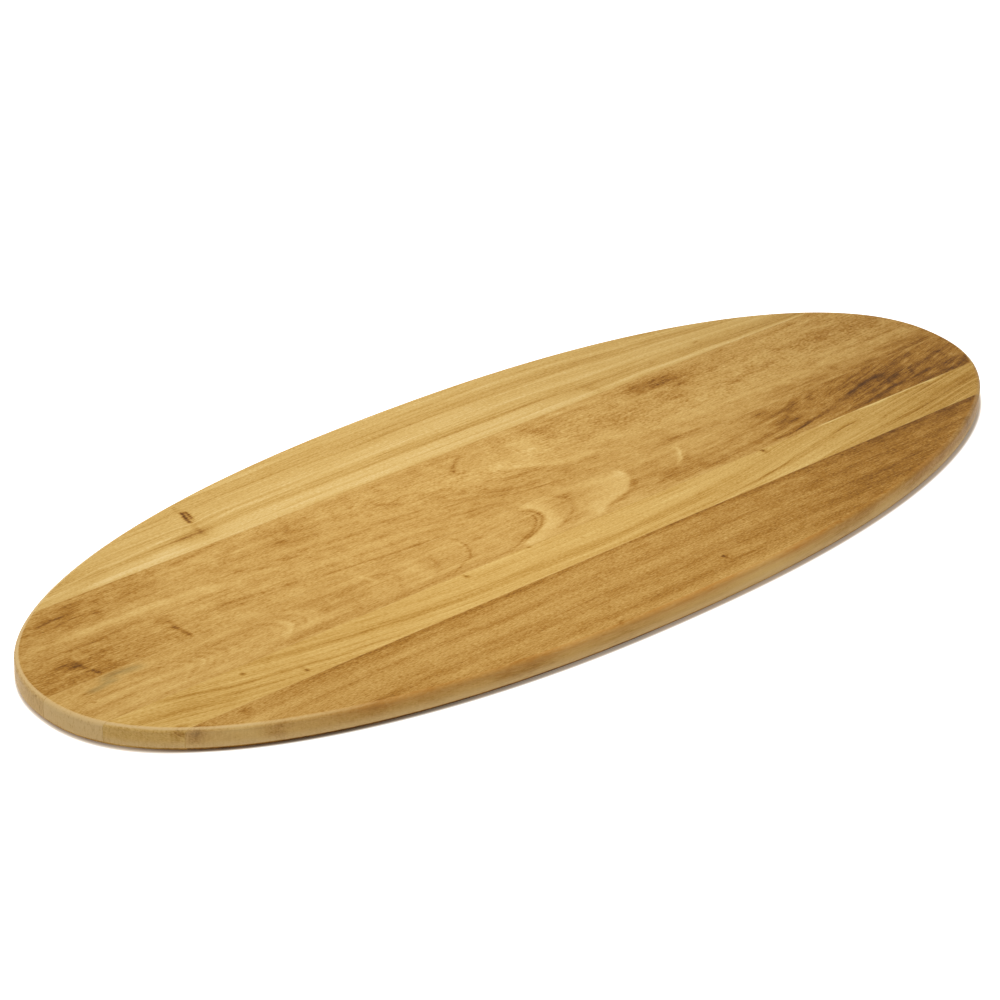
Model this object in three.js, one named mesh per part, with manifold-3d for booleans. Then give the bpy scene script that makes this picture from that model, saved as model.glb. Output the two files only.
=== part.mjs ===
// Oval serving board: five wooden staves edge-glued into one flat panel, cut to an oval and rounded
// over all the way round. Millimetres, +Z up, origin on the underside below the middle of the board.
// The length runs along X, the staves lie side by side along Y, and the back of the board is +Y.
import * as THREE from 'three';
import { mergeVertices, toCreasedNormals } from 'three/addons/utils/BufferGeometryUtils.js';
import Module from 'manifold-3d';

// Board
const BOARD_LENGTH = 600;
const BOARD_WIDTH = 240;
const BOARD_THICKNESS = 12;

// Oval: 2 is a plain ellipse, and more than 2 fills out its shoulders
const OVAL_EXPONENT = 2.2;

// Rim
const TOP_ROUNDOVER = 2.5;
const BOTTOM_ROUNDOVER = 3;

// Core staves, from the back to the front, and the glue between two staves
const WIDE_STAVE_WIDTH = 65;
const FIGURED_STAVE_WIDTH = 33;
const PALE_STAVE_WIDTH = 27;
const GLUE_LINE_WIDTH = 0.2;
const GLUE_LINES = 4;

// Facets
const OUTLINE_STEPS = 200;
const ROUNDOVER_HALF_STEPS = 3;
const CREASE_ANGLE = THREE.MathUtils.degToRad(25);

// How far a slab that cuts the panel reaches past it
const CUT_MARGIN = 5;

const wasm = await Module();
wasm.setup();

function signedPower(value, exponent) {
  return Math.sign(value) * Math.abs(value) ** exponent;
}

// The board's plan, |x / a|^n + |y / b|^n = 1, walked anticlockwise from the right tip.
class OvalCurve extends THREE.Curve {
  constructor(halfLength, halfWidth, exponent) {
    super();
    this.halfLength = halfLength;
    this.halfWidth = halfWidth;
    this.exponent = exponent;
  }

  getPoint(t, target = new THREE.Vector2()) {
    const angle = 2 * Math.PI * t;
    const power = 2 / this.exponent;
    const x = this.halfLength * signedPower(Math.cos(angle), power);
    const y = this.halfWidth * signedPower(Math.sin(angle), power);
    return target.set(x, y);
  }

  // The outward normal is the gradient of the oval's equation.
  getOutwardNormal(point) {
    const power = this.exponent - 1;
    const nx = signedPower(point.x / this.halfLength, power) / this.halfLength;
    const ny = signedPower(point.y / this.halfWidth, power) / this.halfWidth;
    return new THREE.Vector2(nx, ny).normalize();
  }
}

// The rim's section from the underside up to the top face. Its x is the inset from the oval and its
// y is the height: a roundover below, an upright side, and a slightly smaller roundover above.
function rimProfile() {
  const topCentre = BOARD_THICKNESS - TOP_ROUNDOVER;
  const profile = new THREE.Path();
  profile.absarc(BOTTOM_ROUNDOVER, BOTTOM_ROUNDOVER, BOTTOM_ROUNDOVER, 1.5 * Math.PI, Math.PI, true);
  profile.absarc(TOP_ROUNDOVER, topCentre, TOP_ROUNDOVER, Math.PI, 0.5 * Math.PI, true);
  return profile.getPoints(ROUNDOVER_HALF_STEPS);
}

// Carries the section round the oval, square to it, and closes the result with flat faces that fan
// out from the middle of the underside and of the top.
function loftPanel(oval, profile) {
  const outline = oval.getPoints(OUTLINE_STEPS).slice(0, -1);
  const normals = outline.map((point) => oval.getOutwardNormal(point));
  const positions = [];
  for (const { x: inset, y: height } of profile) {
    outline.forEach((point, i) => {
      positions.push(point.x - inset * normals[i].x, point.y - inset * normals[i].y, height);
    });
  }
  const around = outline.length;
  const lastRing = (profile.length - 1) * around;
  const bottomMiddle = profile.length * around;
  const topMiddle = bottomMiddle + 1;
  positions.push(0, 0, 0, 0, 0, BOARD_THICKNESS);

  const indices = [];
  for (let i = 0; i < around; i++) {
    const next = (i + 1) % around;
    for (let ring = 0; ring < lastRing; ring += around) {
      const above = ring + around;
      indices.push(ring + i, ring + next, above + next);
      indices.push(ring + i, above + next, above + i);
    }
    indices.push(bottomMiddle, next, i);
    indices.push(topMiddle, lastRing + i, lastRing + next);
  }
  const geometry = new THREE.BufferGeometry();
  geometry.setAttribute('position', new THREE.Float32BufferAttribute(positions, 3));
  geometry.setIndex(indices);
  return geometry;
}

// A slab as long and as thick as the panel needs, between two lines across its width.
function slabBetween(front, back) {
  const length = BOARD_LENGTH + 2 * CUT_MARGIN;
  const thickness = BOARD_THICKNESS + 2 * CUT_MARGIN;
  const slab = new THREE.BoxGeometry(length, back - front, thickness);
  return slab.translate(0, (front + back) / 2, BOARD_THICKNESS / 2);
}

function toSolid(geometry) {
  const bare = geometry.clone();
  bare.deleteAttribute('normal');
  bare.deleteAttribute('uv');
  const merged = mergeVertices(bare);
  const vertProperties = new Float32Array(merged.attributes.position.array);
  const triVerts = new Uint32Array(merged.index.array);
  return new wasm.Manifold(new wasm.Mesh({ numProp: 3, vertProperties, triVerts }));
}

function toGeometry(solid) {
  const { vertProperties, triVerts } = solid.getMesh();
  const geometry = new THREE.BufferGeometry();
  geometry.setAttribute('position', new THREE.BufferAttribute(vertProperties, 3));
  geometry.setIndex(new THREE.BufferAttribute(triVerts, 1));
  return toCreasedNormals(geometry, CREASE_ANGLE);
}

function oiledWood(color) {
  return new THREE.MeshStandardMaterial({ color, roughness: 0.5, metalness: 0 });
}

function driedGlue() {
  return new THREE.MeshStandardMaterial({ color: 0xb98f52, roughness: 0.4, metalness: 0 });
}

// The panel's strips from the back edge to the front: staves with a glue line between each two. The
// core staves are centred on the board, and the outer two share what is left of its width.
function panelStrips() {
  const coreWidth = WIDE_STAVE_WIDTH + FIGURED_STAVE_WIDTH + PALE_STAVE_WIDTH + GLUE_LINES * GLUE_LINE_WIDTH;
  const outerStaveWidth = (BOARD_WIDTH - coreWidth) / 2;
  return [
    { name: 'back_stave', width: outerStaveWidth, material: oiledWood(0xd4ae68) },
    { name: 'glue_line_1', width: GLUE_LINE_WIDTH, material: driedGlue() },
    { name: 'wide_stave', width: WIDE_STAVE_WIDTH, material: oiledWood(0xc59b58) },
    { name: 'glue_line_2', width: GLUE_LINE_WIDTH, material: driedGlue() },
    { name: 'figured_stave', width: FIGURED_STAVE_WIDTH, material: oiledWood(0xba9150) },
    { name: 'glue_line_3', width: GLUE_LINE_WIDTH, material: driedGlue() },
    { name: 'pale_stave', width: PALE_STAVE_WIDTH, material: oiledWood(0xcca35b) },
    { name: 'glue_line_4', width: GLUE_LINE_WIDTH, material: driedGlue() },
    { name: 'front_stave', width: outerStaveWidth, material: oiledWood(0xb68949) },
  ];
}

// Cuts the whole panel into its strips, so that the oval and the rim run on from stave to stave.
function buildBoard() {
  const oval = new OvalCurve(BOARD_LENGTH / 2, BOARD_WIDTH / 2, OVAL_EXPONENT);
  const panel = toSolid(loftPanel(oval, rimProfile()));
  const strips = panelStrips();
  const board = new THREE.Group();
  board.name = 'oval_serving_board';
  let back = BOARD_WIDTH / 2;
  strips.forEach(({ name, width, material }, i) => {
    const front = back - width;
    const slabBack = i === 0 ? back + CUT_MARGIN : back;
    const slabFront = i === strips.length - 1 ? front - CUT_MARGIN : front;
    const strip = panel.intersect(toSolid(slabBetween(slabFront, slabBack)));
    const mesh = new THREE.Mesh(toGeometry(strip), material);
    mesh.name = name;
    board.add(mesh);
    back = front;
  });
  return board;
}

export default buildBoard();
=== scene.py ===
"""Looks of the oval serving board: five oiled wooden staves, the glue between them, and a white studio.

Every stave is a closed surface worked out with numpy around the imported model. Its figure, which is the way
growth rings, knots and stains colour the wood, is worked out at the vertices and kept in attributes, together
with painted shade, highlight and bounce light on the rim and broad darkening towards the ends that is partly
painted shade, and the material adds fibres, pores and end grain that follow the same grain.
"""
import logging
import math
from dataclasses import dataclass, field
from enum import Enum

import bpy
import numpy as np
from mathutils import Matrix, Vector


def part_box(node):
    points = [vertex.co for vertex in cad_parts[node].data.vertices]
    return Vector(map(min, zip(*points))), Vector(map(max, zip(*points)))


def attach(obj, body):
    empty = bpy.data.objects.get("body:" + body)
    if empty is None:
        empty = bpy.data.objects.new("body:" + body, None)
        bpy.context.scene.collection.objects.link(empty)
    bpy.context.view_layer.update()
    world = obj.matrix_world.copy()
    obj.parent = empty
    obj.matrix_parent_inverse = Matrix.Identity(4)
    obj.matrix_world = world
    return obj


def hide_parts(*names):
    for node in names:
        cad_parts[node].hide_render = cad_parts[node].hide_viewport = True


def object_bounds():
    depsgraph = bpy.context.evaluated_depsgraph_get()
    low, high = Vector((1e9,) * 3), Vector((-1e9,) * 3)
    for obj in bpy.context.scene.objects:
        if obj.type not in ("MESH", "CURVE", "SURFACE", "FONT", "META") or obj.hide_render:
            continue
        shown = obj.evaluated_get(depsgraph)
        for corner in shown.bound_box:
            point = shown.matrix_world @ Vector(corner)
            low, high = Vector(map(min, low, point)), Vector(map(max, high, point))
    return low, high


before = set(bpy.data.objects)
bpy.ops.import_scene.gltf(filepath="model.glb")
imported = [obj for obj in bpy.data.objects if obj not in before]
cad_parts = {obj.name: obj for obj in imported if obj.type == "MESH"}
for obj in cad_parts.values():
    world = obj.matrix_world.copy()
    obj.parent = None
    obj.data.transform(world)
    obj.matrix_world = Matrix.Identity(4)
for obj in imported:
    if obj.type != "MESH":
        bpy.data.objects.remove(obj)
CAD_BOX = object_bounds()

LOG = logging.getLogger("serving_board")

MM = 0.001
BODY = "root"

# Plan and rim of the board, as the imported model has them
OVAL_EXPONENT = 2.2
TOP_ROUNDOVER = 2.5 * MM
BOTTOM_ROUNDOVER = 3.0 * MM

# Fineness of the surfaces
GRID_ALONG = 0.87 * MM
GRID_ACROSS = 0.65 * MM
UNDERSIDE_COARSER = 3
TOP_ARC_STEPS = 10
BOTTOM_ARC_STEPS = 8
SIDE_STEPS = 8
OUTLINE_SAMPLES = 4000
SHARP_ANGLE = math.radians(40)
WELD_DISTANCE = 1e-7
TINY = 1e-9

Point = tuple[float, float]
Colour = tuple[float, float, float]


def linear(red: int, green: int, blue: int) -> Colour:
    """A colour of the screen as the linear colour that a shader takes.

    A channel's share s of 255 becomes s / 12.92 up to 0.04045, and ((s + 0.055) / 1.055)^2.4 above.

    Args:
        red: Red channel, from 0 to 255.
        green: Green channel.
        blue: Blue channel.

    Returns:
        The linear channels, each from 0 to 1.
    """
    shares = (channel / 255 for channel in (red, green, blue))
    return tuple(s / 12.92 if s <= 0.04045 else ((s + 0.055) / 1.055) ** 2.4 for s in shares)


def smoothstep(share: np.ndarray) -> np.ndarray:
    """An even ramp from 0 to 1 with flat ends, as 3t^2 - 2t^3."""
    share = np.clip(share, 0.0, 1.0)
    return share * share * (3.0 - 2.0 * share)


def soft_corner(distance: np.ndarray, softness: float) -> np.ndarray:
    """0 before a corner and the distance after it, rounded over the given softness."""
    return softness * np.logaddexp(0.0, distance / softness)


def bell(distance: np.ndarray, width: float | np.ndarray) -> np.ndarray:
    """A bell curve, exp(-(d / w)^2), that has faded to 1/e at the given width."""
    return np.exp(-((distance / width) ** 2))


@dataclass(frozen=True)
class OvalPlan:
    """The board's plan, |x / a|^n + |y / b|^n = 1.

    Attributes:
        half_length: a, in metres.
        half_width: b, in metres.
        exponent: n; 2 is a plain ellipse.
    """

    half_length: float
    half_width: float
    exponent: float

    def gradient(self, share_x: np.ndarray, share_y: np.ndarray) -> tuple[np.ndarray, np.ndarray]:
        """The gradient of the oval's equation, divided by n, where |x / a| and |y / b| are given."""
        power = self.exponent - 1.0
        return share_x ** power / self.half_length, share_y ** power / self.half_width

    def inset_quarter(self, inset: float) -> tuple[np.ndarray, np.ndarray]:
        """The quarter of the oval with x and y positive, moved inwards along its normals.

        A point at angle t is (a cos(t)^(2/n), b sin(t)^(2/n)), and its normal is the gradient of the
        oval's equation.

        Args:
            inset: Distance from the oval, in metres.

        Returns:
            The x and y of the points, from the right tip to the back.
        """
        angle = np.linspace(0.0, math.pi / 2, OUTLINE_SAMPLES)
        share_x = np.clip(np.cos(angle), 0.0, 1.0) ** (2.0 / self.exponent)
        share_y = np.clip(np.sin(angle), 0.0, 1.0) ** (2.0 / self.exponent)
        normal_x, normal_y = self.gradient(share_x, share_y)
        size = np.hypot(normal_x, normal_y)
        x = self.half_length * share_x - inset * normal_x / size
        y = self.half_width * share_y - inset * normal_y / size
        return x, y

    def facing(self, x: np.ndarray, y: np.ndarray) -> np.ndarray:
        """How much of the way that the rim faces lies along the length, from 0 to 1.

        Args:
            x: Places along the board, in metres.
            y: Places across the board, in metres.

        Returns:
            The share at each place.
        """
        normal_x, normal_y = self.gradient(np.abs(x / self.half_length), np.abs(y / self.half_width))
        return normal_x / np.maximum(np.hypot(normal_x, normal_y), TINY)

    def reach_along(self, y: np.ndarray, inset: float) -> np.ndarray:
        """The largest x of the inset oval at each y."""
        outline_x, outline_y = self.inset_quarter(inset)
        return np.interp(np.abs(y), outline_y, outline_x)

    def reach_across(self, x: np.ndarray, inset: float) -> np.ndarray:
        """The largest y of the inset oval at each x."""
        outline_x, outline_y = self.inset_quarter(inset)
        return np.interp(np.abs(x), outline_x[::-1], outline_y[::-1])


@dataclass(frozen=True)
class RimSection:
    """The section of the rim: a roundover below, an upright side and a smaller roundover above.

    Attributes:
        thickness: Height of the board, in metres.
        top_radius: Radius of the roundover above, in metres.
        bottom_radius: Radius of the roundover below, in metres.
    """

    thickness: float
    top_radius: float
    bottom_radius: float

    def points(self) -> tuple[np.ndarray, np.ndarray]:
        """Two quarter circles with a straight side between them.

        Returns:
            The inset from the oval and the height of each point, from the underside to the top face.
        """
        below = np.linspace(0.0, math.pi / 2, BOTTOM_ARC_STEPS + 1)
        above = np.linspace(0.0, math.pi / 2, TOP_ARC_STEPS + 1)
        low, high = self.bottom_radius, self.thickness - self.top_radius
        side = np.linspace(low, high, SIDE_STEPS + 1)[1:-1]
        inset = [low * (1 - np.sin(below)), np.zeros_like(side), self.top_radius * (1 - np.cos(above))]
        height = [low * (1 - np.cos(below)), side, high + self.top_radius * np.sin(above)]
        return np.concatenate(inset), np.concatenate(height)

    def upright(self, height: np.ndarray) -> np.ndarray:
        """How upright the rim is: over a roundover, the cosine of its lean.

        Args:
            height: Heights above the underside, in metres.

        Returns:
            The share at each height, from 0 at both faces to 1 on the side.
        """
        above = (height - self.thickness + self.top_radius) / self.top_radius
        below = (self.bottom_radius - height) / self.bottom_radius
        lean = np.clip(np.maximum(above, below), 0.0, 1.0)
        return np.sqrt(1.0 - lean ** 2)


@dataclass
class Surface:
    """A surface: points in metres, and faces as lists of point numbers."""

    points: np.ndarray
    faces: list[list[int]]

    def welded(self) -> "Surface":
        """Joins coincident points.

        Returns:
            The same surface, without the faces that vanish when their points are joined.
        """
        cells = np.round(self.points / WELD_DISTANCE).astype(np.int64)
        _, first, new_number = np.unique(cells, axis=0, return_index=True, return_inverse=True)
        new_number = new_number.reshape(-1)
        joined = ([*dict.fromkeys(new_number[face].tolist())] for face in self.faces)
        return Surface(self.points[first], [face for face in joined if len(face) > 2])

    def mirrored(self) -> "Surface":
        """The surface reflected from back to front, with its faces still pointing outwards."""
        return Surface(self.points * (1.0, -1.0, 1.0), [face[::-1] for face in self.faces])

    def to_object(self, name: str) -> bpy.types.Object:
        """Puts the surface into a smooth-shaded mesh object whose arrises are sharp.

        Args:
            name: Name of the object and its mesh.

        Returns:
            The new object, at the origin.
        """
        mesh = bpy.data.meshes.new(name)
        mesh.from_pydata(self.points.tolist(), [], self.faces)
        mesh.validate()
        mesh.shade_smooth()
        mesh.set_sharp_from_angle(angle=SHARP_ANGLE)
        piece = bpy.data.objects.new(name, mesh)
        bpy.context.scene.collection.objects.link(piece)
        return piece


def grid_faces(numbers: np.ndarray) -> list[list[int]]:
    """The quads of a grid of point numbers, wound from the rows' direction to the columns'."""
    corners = (numbers[:-1, :-1], numbers[1:, :-1], numbers[1:, 1:], numbers[:-1, 1:])
    return np.stack(corners, axis=-1).reshape(-1, 4).tolist()


def joint_faces(top: np.ndarray, bottom: np.ndarray, rims: list[np.ndarray]) -> list[list[int]]:
    """The flat face where a stave meets its neighbour, as upright strips and the ends under the rim.

    Args:
        top: Point numbers along the upper edge.
        bottom: Point numbers along the lower edge, the same way; the upper edge has a whole number of
            steps for each of its steps.
        rims: Point numbers of the rim's section at the two ends.

    Returns:
        Faces wound from the upper edge to the lower one.
    """
    per_step = (len(top) - 1) // (len(bottom) - 1)
    first = np.arange(len(bottom) - 1)
    upper = top[first[:, None] * per_step + np.arange(per_step + 1)]
    lower = np.stack([bottom[1:], bottom[:-1]], axis=-1)
    return np.concatenate([upper, lower], axis=1).tolist() + [rim.tolist() for rim in rims]


def steps(length: float, step: float, multiple: int = 1) -> int:
    """How many steps of about the given size a length takes, as a multiple of a whole number."""
    return max(1, round(length / step / multiple)) * multiple


@dataclass(frozen=True)
class PanelShape:
    """The whole panel that the staves are parts of."""

    plan: OvalPlan
    rim: RimSection

    def core_strip(self, front: float, back: float) -> Surface:
        """A strip that crosses the panel between two lines of constant y.

        At each y the section is a closed loop: up the right rim, along the top face to the left, down
        the left rim, and along the underside to the right.

        Args:
            front: y of the front joint, in metres.
            back: y of the back joint, in metres.

        Returns:
            The closed surface of the strip.
        """
        inset, height = self.rim.points()
        y = np.linspace(front, back, steps(back - front, GRID_ACROSS) + 1)
        rim_x = np.stack([self.plan.reach_along(y, distance) for distance in inset], axis=1)
        along_top = steps(2 * rim_x[:, -1].max(), GRID_ALONG, UNDERSIDE_COARSER)
        top_share = np.linspace(1.0, -1.0, along_top + 1)[1:-1]
        bottom_share = np.linspace(-1.0, 1.0, along_top // UNDERSIDE_COARSER + 1)[1:-1]
        rim_z = np.broadcast_to(height, rim_x.shape)
        top_x = rim_x[:, -1:] * top_share
        bottom_x = rim_x[:, :1] * bottom_share
        x = np.concatenate([rim_x, top_x, -rim_x[:, ::-1], bottom_x], axis=1)
        top_z = np.full_like(top_x, height[-1])
        bottom_z = np.full_like(bottom_x, height[0])
        z = np.concatenate([rim_z, top_z, rim_z[:, ::-1], bottom_z], axis=1)
        points = np.stack([x, np.broadcast_to(y[:, None], x.shape), z], axis=-1)

        numbers = np.arange(x.size).reshape(x.shape)
        faces = grid_faces(np.concatenate([numbers, numbers[:, :1]], axis=1))
        levels = len(inset)
        left_top = levels + len(top_share)
        for row, turn in ((numbers[0], 1), (numbers[-1], -1)):
            top = row[levels - 1:left_top + 1]
            bottom = np.append(row[left_top + levels - 1:], row[0])[::-1]
            ends = [row[:levels], row[left_top:left_top + levels]]
            faces += [face[::turn] for face in joint_faces(top, bottom, ends)]
        return Surface(points.reshape(-1, 3), faces)

    def edge_strip(self, front: float) -> Surface:
        """The back of the panel, from a line of constant y out to the oval.

        Each level of the rim is an inset oval, cut off by the line. Its points lie at even shares of
        its length there. The top face and the underside run straight from the line to the rim, and
        come to a point at both ends.

        Args:
            front: y of the joint, in metres.

        Returns:
            The closed surface of the strip.
        """
        inset, height = self.rim.points()
        ends = np.array([self.plan.reach_along(np.array(front), distance) for distance in inset])
        share = np.linspace(-1.0, 1.0, steps(2 * ends[-1], GRID_ALONG) + 1)
        rim_x = share[:, None] * ends
        levels = zip(rim_x.T, inset)
        rim_y = np.stack([self.plan.reach_across(level, distance) for level, distance in levels], axis=1)
        rim_y[[0, -1]] = front
        across = steps(rim_y[:, -1].max() - front, GRID_ACROSS, UNDERSIDE_COARSER)
        out = np.linspace(0.0, 1.0, across + 1)[:-1]
        back = np.linspace(1.0, 0.0, across // UNDERSIDE_COARSER + 1)[1:]
        top_y = front + (rim_y[:, -1:] - front) * out
        bottom_y = front + (rim_y[:, :1] - front) * back
        top_x = np.broadcast_to(rim_x[:, -1:], top_y.shape)
        bottom_x = np.broadcast_to(rim_x[:, :1], bottom_y.shape)
        rim_z = np.broadcast_to(height[::-1], rim_x.shape)
        x = np.concatenate([top_x, rim_x[:, ::-1], bottom_x], axis=1)
        y = np.concatenate([top_y, rim_y[:, ::-1], bottom_y], axis=1)
        top_z = np.full_like(top_y, height[-1])
        bottom_z = np.full_like(bottom_y, height[0])
        z = np.concatenate([top_z, rim_z, bottom_z], axis=1)

        numbers = np.arange(x.size).reshape(x.shape)
        rim_columns = slice(len(out), len(out) + len(inset))
        rims = [numbers[-1, rim_columns], numbers[0, rim_columns][::-1]]
        joint = joint_faces(numbers[:, 0], numbers[:, -1], rims)
        faces = grid_faces(numbers) + [face[::-1] for face in joint]
        return Surface(np.stack([x, y, z], axis=-1).reshape(-1, 3), faces).welded()


@dataclass(frozen=True)
class Streak:
    """A curved streak in the wood, darker than the wood around it or paler.

    Attributes:
        path: Points along its middle, x and y in mm on the serving face.
        width: Distance from the middle, in mm, at which it has faded to 1/e.
        depth: Change of darkness along the middle; negative is paler.
        fade: Share of its length over which each end runs out.
        right_width: The width on the right-hand side of the path, where it isn't the same as the left.
    """

    path: tuple[Point, ...]
    width: float
    depth: float
    fade: float = 0.3
    right_width: float = 0.0

    # Steps between two points of the path, and widths beyond which nothing of the streak is left
    STEPS_PER_SPAN = 10
    REACH = 3.0

    def middle(self) -> np.ndarray:
        """The smooth curve through the path's points, a cubic between each two of them.

        Returns:
            Points along the curve, in mm.
        """
        given = np.asarray(self.path, float)
        ends = 2 * given[[0, -1]] - given[[1, -2]]
        points = np.concatenate([ends[:1], given, ends[1:]])
        before, start, end, after = (points[k:len(points) - 3 + k] for k in range(4))
        t = np.linspace(0.0, 1.0, self.STEPS_PER_SPAN, endpoint=False)[:, None, None]
        spans = 2 * start + (end - before) * t + (2 * before - 5 * start + 4 * end - after) * t ** 2
        spans = 0.5 * (spans + (3 * start - before - 3 * end + after) * t ** 3)
        return np.concatenate([spans.transpose(1, 0, 2).reshape(-1, 2), given[-1:]])

    def darkness(self, x: np.ndarray, y: np.ndarray) -> np.ndarray:
        """Its depth times a bell curve of the distance to its middle, run out at both ends.

        Args:
            x: Places along the board, in mm.
            y: Places across the board, in mm.

        Returns:
            The change of darkness at each place.
        """
        line = self.middle()
        reach = self.REACH * max(self.width, self.right_width)
        low, high = line.min(axis=0) - reach, line.max(axis=0) + reach
        near = (x > low[0]) & (x < high[0]) & (y > low[1]) & (y < high[1])
        change = np.zeros_like(x)
        span = np.diff(line, axis=0)
        length = np.hypot(span[:, 0], span[:, 1])
        away_x = x[near][:, None] - line[:-1, 0]
        away_y = y[near][:, None] - line[:-1, 1]
        share = np.clip((away_x * span[:, 0] + away_y * span[:, 1]) / length ** 2, 0.0, 1.0)
        distance = np.hypot(away_x - share * span[:, 0], away_y - share * span[:, 1])
        nearest = distance.argmin(axis=1)
        row = np.arange(len(nearest))
        travelled = (np.cumsum(length) - length)[nearest] + share[row, nearest] * length[nearest]
        along = travelled / length.sum()
        on_right = away_x[row, nearest] * span[nearest, 1] > away_y[row, nearest] * span[nearest, 0]
        width = np.where(on_right, self.right_width or self.width, self.width)
        comes_in = smoothstep(along / self.fade)
        runs_out = smoothstep((1 - along) / self.fade)
        change[near] = self.depth * bell(distance[row, nearest], width) * comes_in * runs_out
        return change


@dataclass(frozen=True)
class Spot:
    """A knot, pin knot, stain or soft patch; some broad ones towards the ends are partly painted shade.

    Attributes:
        x: Place along the board, in mm.
        y: Place across the board, in mm.
        length: Half-size along the board, in mm, at which it has faded to 1/e.
        width: Half-size across the board, in mm.
        depth: Change of darkness in its middle; negative is paler.
        turn: Turn from the board's length, in degrees.
    """

    x: float
    y: float
    length: float
    width: float
    depth: float
    turn: float = 0.0

    def darkness(self, x: np.ndarray, y: np.ndarray) -> np.ndarray:
        """Its depth times a bell curve over a turned ellipse.

        Args:
            x: Places along the board, in mm.
            y: Places across the board, in mm.

        Returns:
            The change of darkness at each place.
        """
        cosine, sine = math.cos(math.radians(self.turn)), math.sin(math.radians(self.turn))
        along = (x - self.x) * cosine + (y - self.y) * sine
        across = (y - self.y) * cosine - (x - self.x) * sine
        return self.depth * np.exp(-((along / self.length) ** 2) - (across / self.width) ** 2)


@dataclass(frozen=True)
class Band:
    """A growth ring that runs along the stave with the grain.

    Attributes:
        at: Where it lies across the grain, in mm.
        width: Distance, in mm, at which it has faded to 1/e.
        depth: Change of darkness along its middle; negative is paler.
        start: x where it comes in, in mm; the default lies past the board.
        end: x where it runs out, in mm; the default lies past the board.
    """

    at: float
    width: float
    depth: float
    start: float = -400.0
    end: float = 400.0

    # Length, in mm, over which it comes in, and runs out again
    RUN_OUT = 60.0

    def darkness(self, x: np.ndarray, across: np.ndarray) -> np.ndarray:
        """Its depth times a bell curve across the grain, with half of it left at its start and its end.

        Args:
            x: Places along the board, in mm.
            across: Places across the grain, in mm.

        Returns:
            The change of darkness at each place.
        """
        comes_in = smoothstep((x - self.start) / self.RUN_OUT + 0.5)
        runs_out = smoothstep((self.end - x) / self.RUN_OUT + 0.5)
        return self.depth * bell(across - self.at, self.width) * comes_in * runs_out


@dataclass(frozen=True)
class Rings:
    """Growth rings cut at a slant, which show as nested arcs that point along the board.

    Attributes:
        start: x of the first arc's tip, in mm.
        end: x of the last arc's tip, in mm.
        y: Middle of the arcs across the board, in mm.
        bend: Radius of the arcs at their tips, in mm.
        pitch: Distance between two tips, in mm.
        depth: Change of darkness between the middle of an arc and the wood between two arcs.
        reach: Distance from the middle, in mm, at which the arcs have faded to 1/e.
    """

    start: float
    end: float
    y: float
    bend: float
    pitch: float
    depth: float
    reach: float

    # Arcs over which the set comes in and runs out, and how fast the distance between two arcs changes
    FADE_ARCS = 1.5
    UNEVEN_PACE = 1.7

    def darkness(self, x: np.ndarray, y: np.ndarray) -> np.ndarray:
        """An uneven cosine over the tip of each place's arc, faded at both ends and to the sides.

        The arc through a place is a parabola along the board, so its tip is x + (y - y0)^2 / (2 r).

        Args:
            x: Places along the board, in mm.
            y: Places across the board, in mm.

        Returns:
            The change of darkness at each place.
        """
        away = y - self.y
        tip = x + away ** 2 / (2 * self.bend)
        soft = self.FADE_ARCS * self.pitch
        shown = smoothstep((tip - self.start) / soft) * smoothstep((self.end - tip) / soft)
        turns = (tip - self.start) / self.pitch
        wave = np.cos(2 * math.pi * turns + np.sin(self.UNEVEN_PACE * turns))
        return self.depth * wave * shown * bell(away, self.reach)


@dataclass(frozen=True)
class Bend:
    """A place from which the growth rings turn away from the board's length.

    Attributes:
        at: x where they turn, in mm.
        slope: How far they move across for each mm along.
        softness: Length over which they turn, in mm.
        leftwards: Whether they turn to the left of that place, and not to the right.
        middle: y where the turn is strongest, in mm.
        reach: Distance from there at which it has faded to 1/e, in mm; the default is past the board.
    """

    at: float
    slope: float
    softness: float
    leftwards: bool = False
    middle: float = 0.0
    reach: float = 1000.0

    def shift(self, x: np.ndarray, y: np.ndarray) -> np.ndarray:
        """Straight lines that leave the old direction softly, faded to both sides."""
        distance = self.at - x if self.leftwards else x - self.at
        return self.slope * soft_corner(distance, self.softness) * bell(y - self.middle, self.reach)


@dataclass(frozen=True)
class Arch:
    """Growth rings that curve over the length of a stave, more towards its outer edge.

    Attributes:
        middle: x of the arch's top, in mm.
        left: Curvature to the left of it, in 1/mm.
        right: Curvature to the right of it, in 1/mm.
        inner: y from which they curve, in mm.
        outer: y from which they curve fully, in mm.
    """

    middle: float
    left: float
    right: float
    inner: float
    outer: float

    def shift(self, x: np.ndarray, y: np.ndarray) -> np.ndarray:
        """A parabola for each side of the top, times the share from the inner to the outer line."""
        share = np.clip((y - self.inner) / (self.outer - self.inner), 0.0, 1.0)
        return np.where(x > self.middle, self.right, self.left) * (x - self.middle) ** 2 * share


@dataclass(frozen=True)
class KnotFlow:
    """Growth rings that part round a knot.

    Attributes:
        x: Middle of the knot along the board, in mm.
        y: Middle of the knot across the board, in mm.
        length: Reach along the board, in mm.
        width: Reach across the board, in mm.
    """

    x: float
    y: float
    length: float
    width: float

    # Share of the distance from the knot's middle by which the rings move away
    STRENGTH = 0.45

    def shift(self, x: np.ndarray, y: np.ndarray) -> np.ndarray:
        """The distance from the knot's middle, faded with a bell curve over an ellipse."""
        nearness = np.exp(-(((x - self.x) / self.length) ** 2) - ((y - self.y) / self.width) ** 2)
        return -self.STRENGTH * (y - self.y) * nearness


Flow = Bend | Arch | KnotFlow


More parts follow.
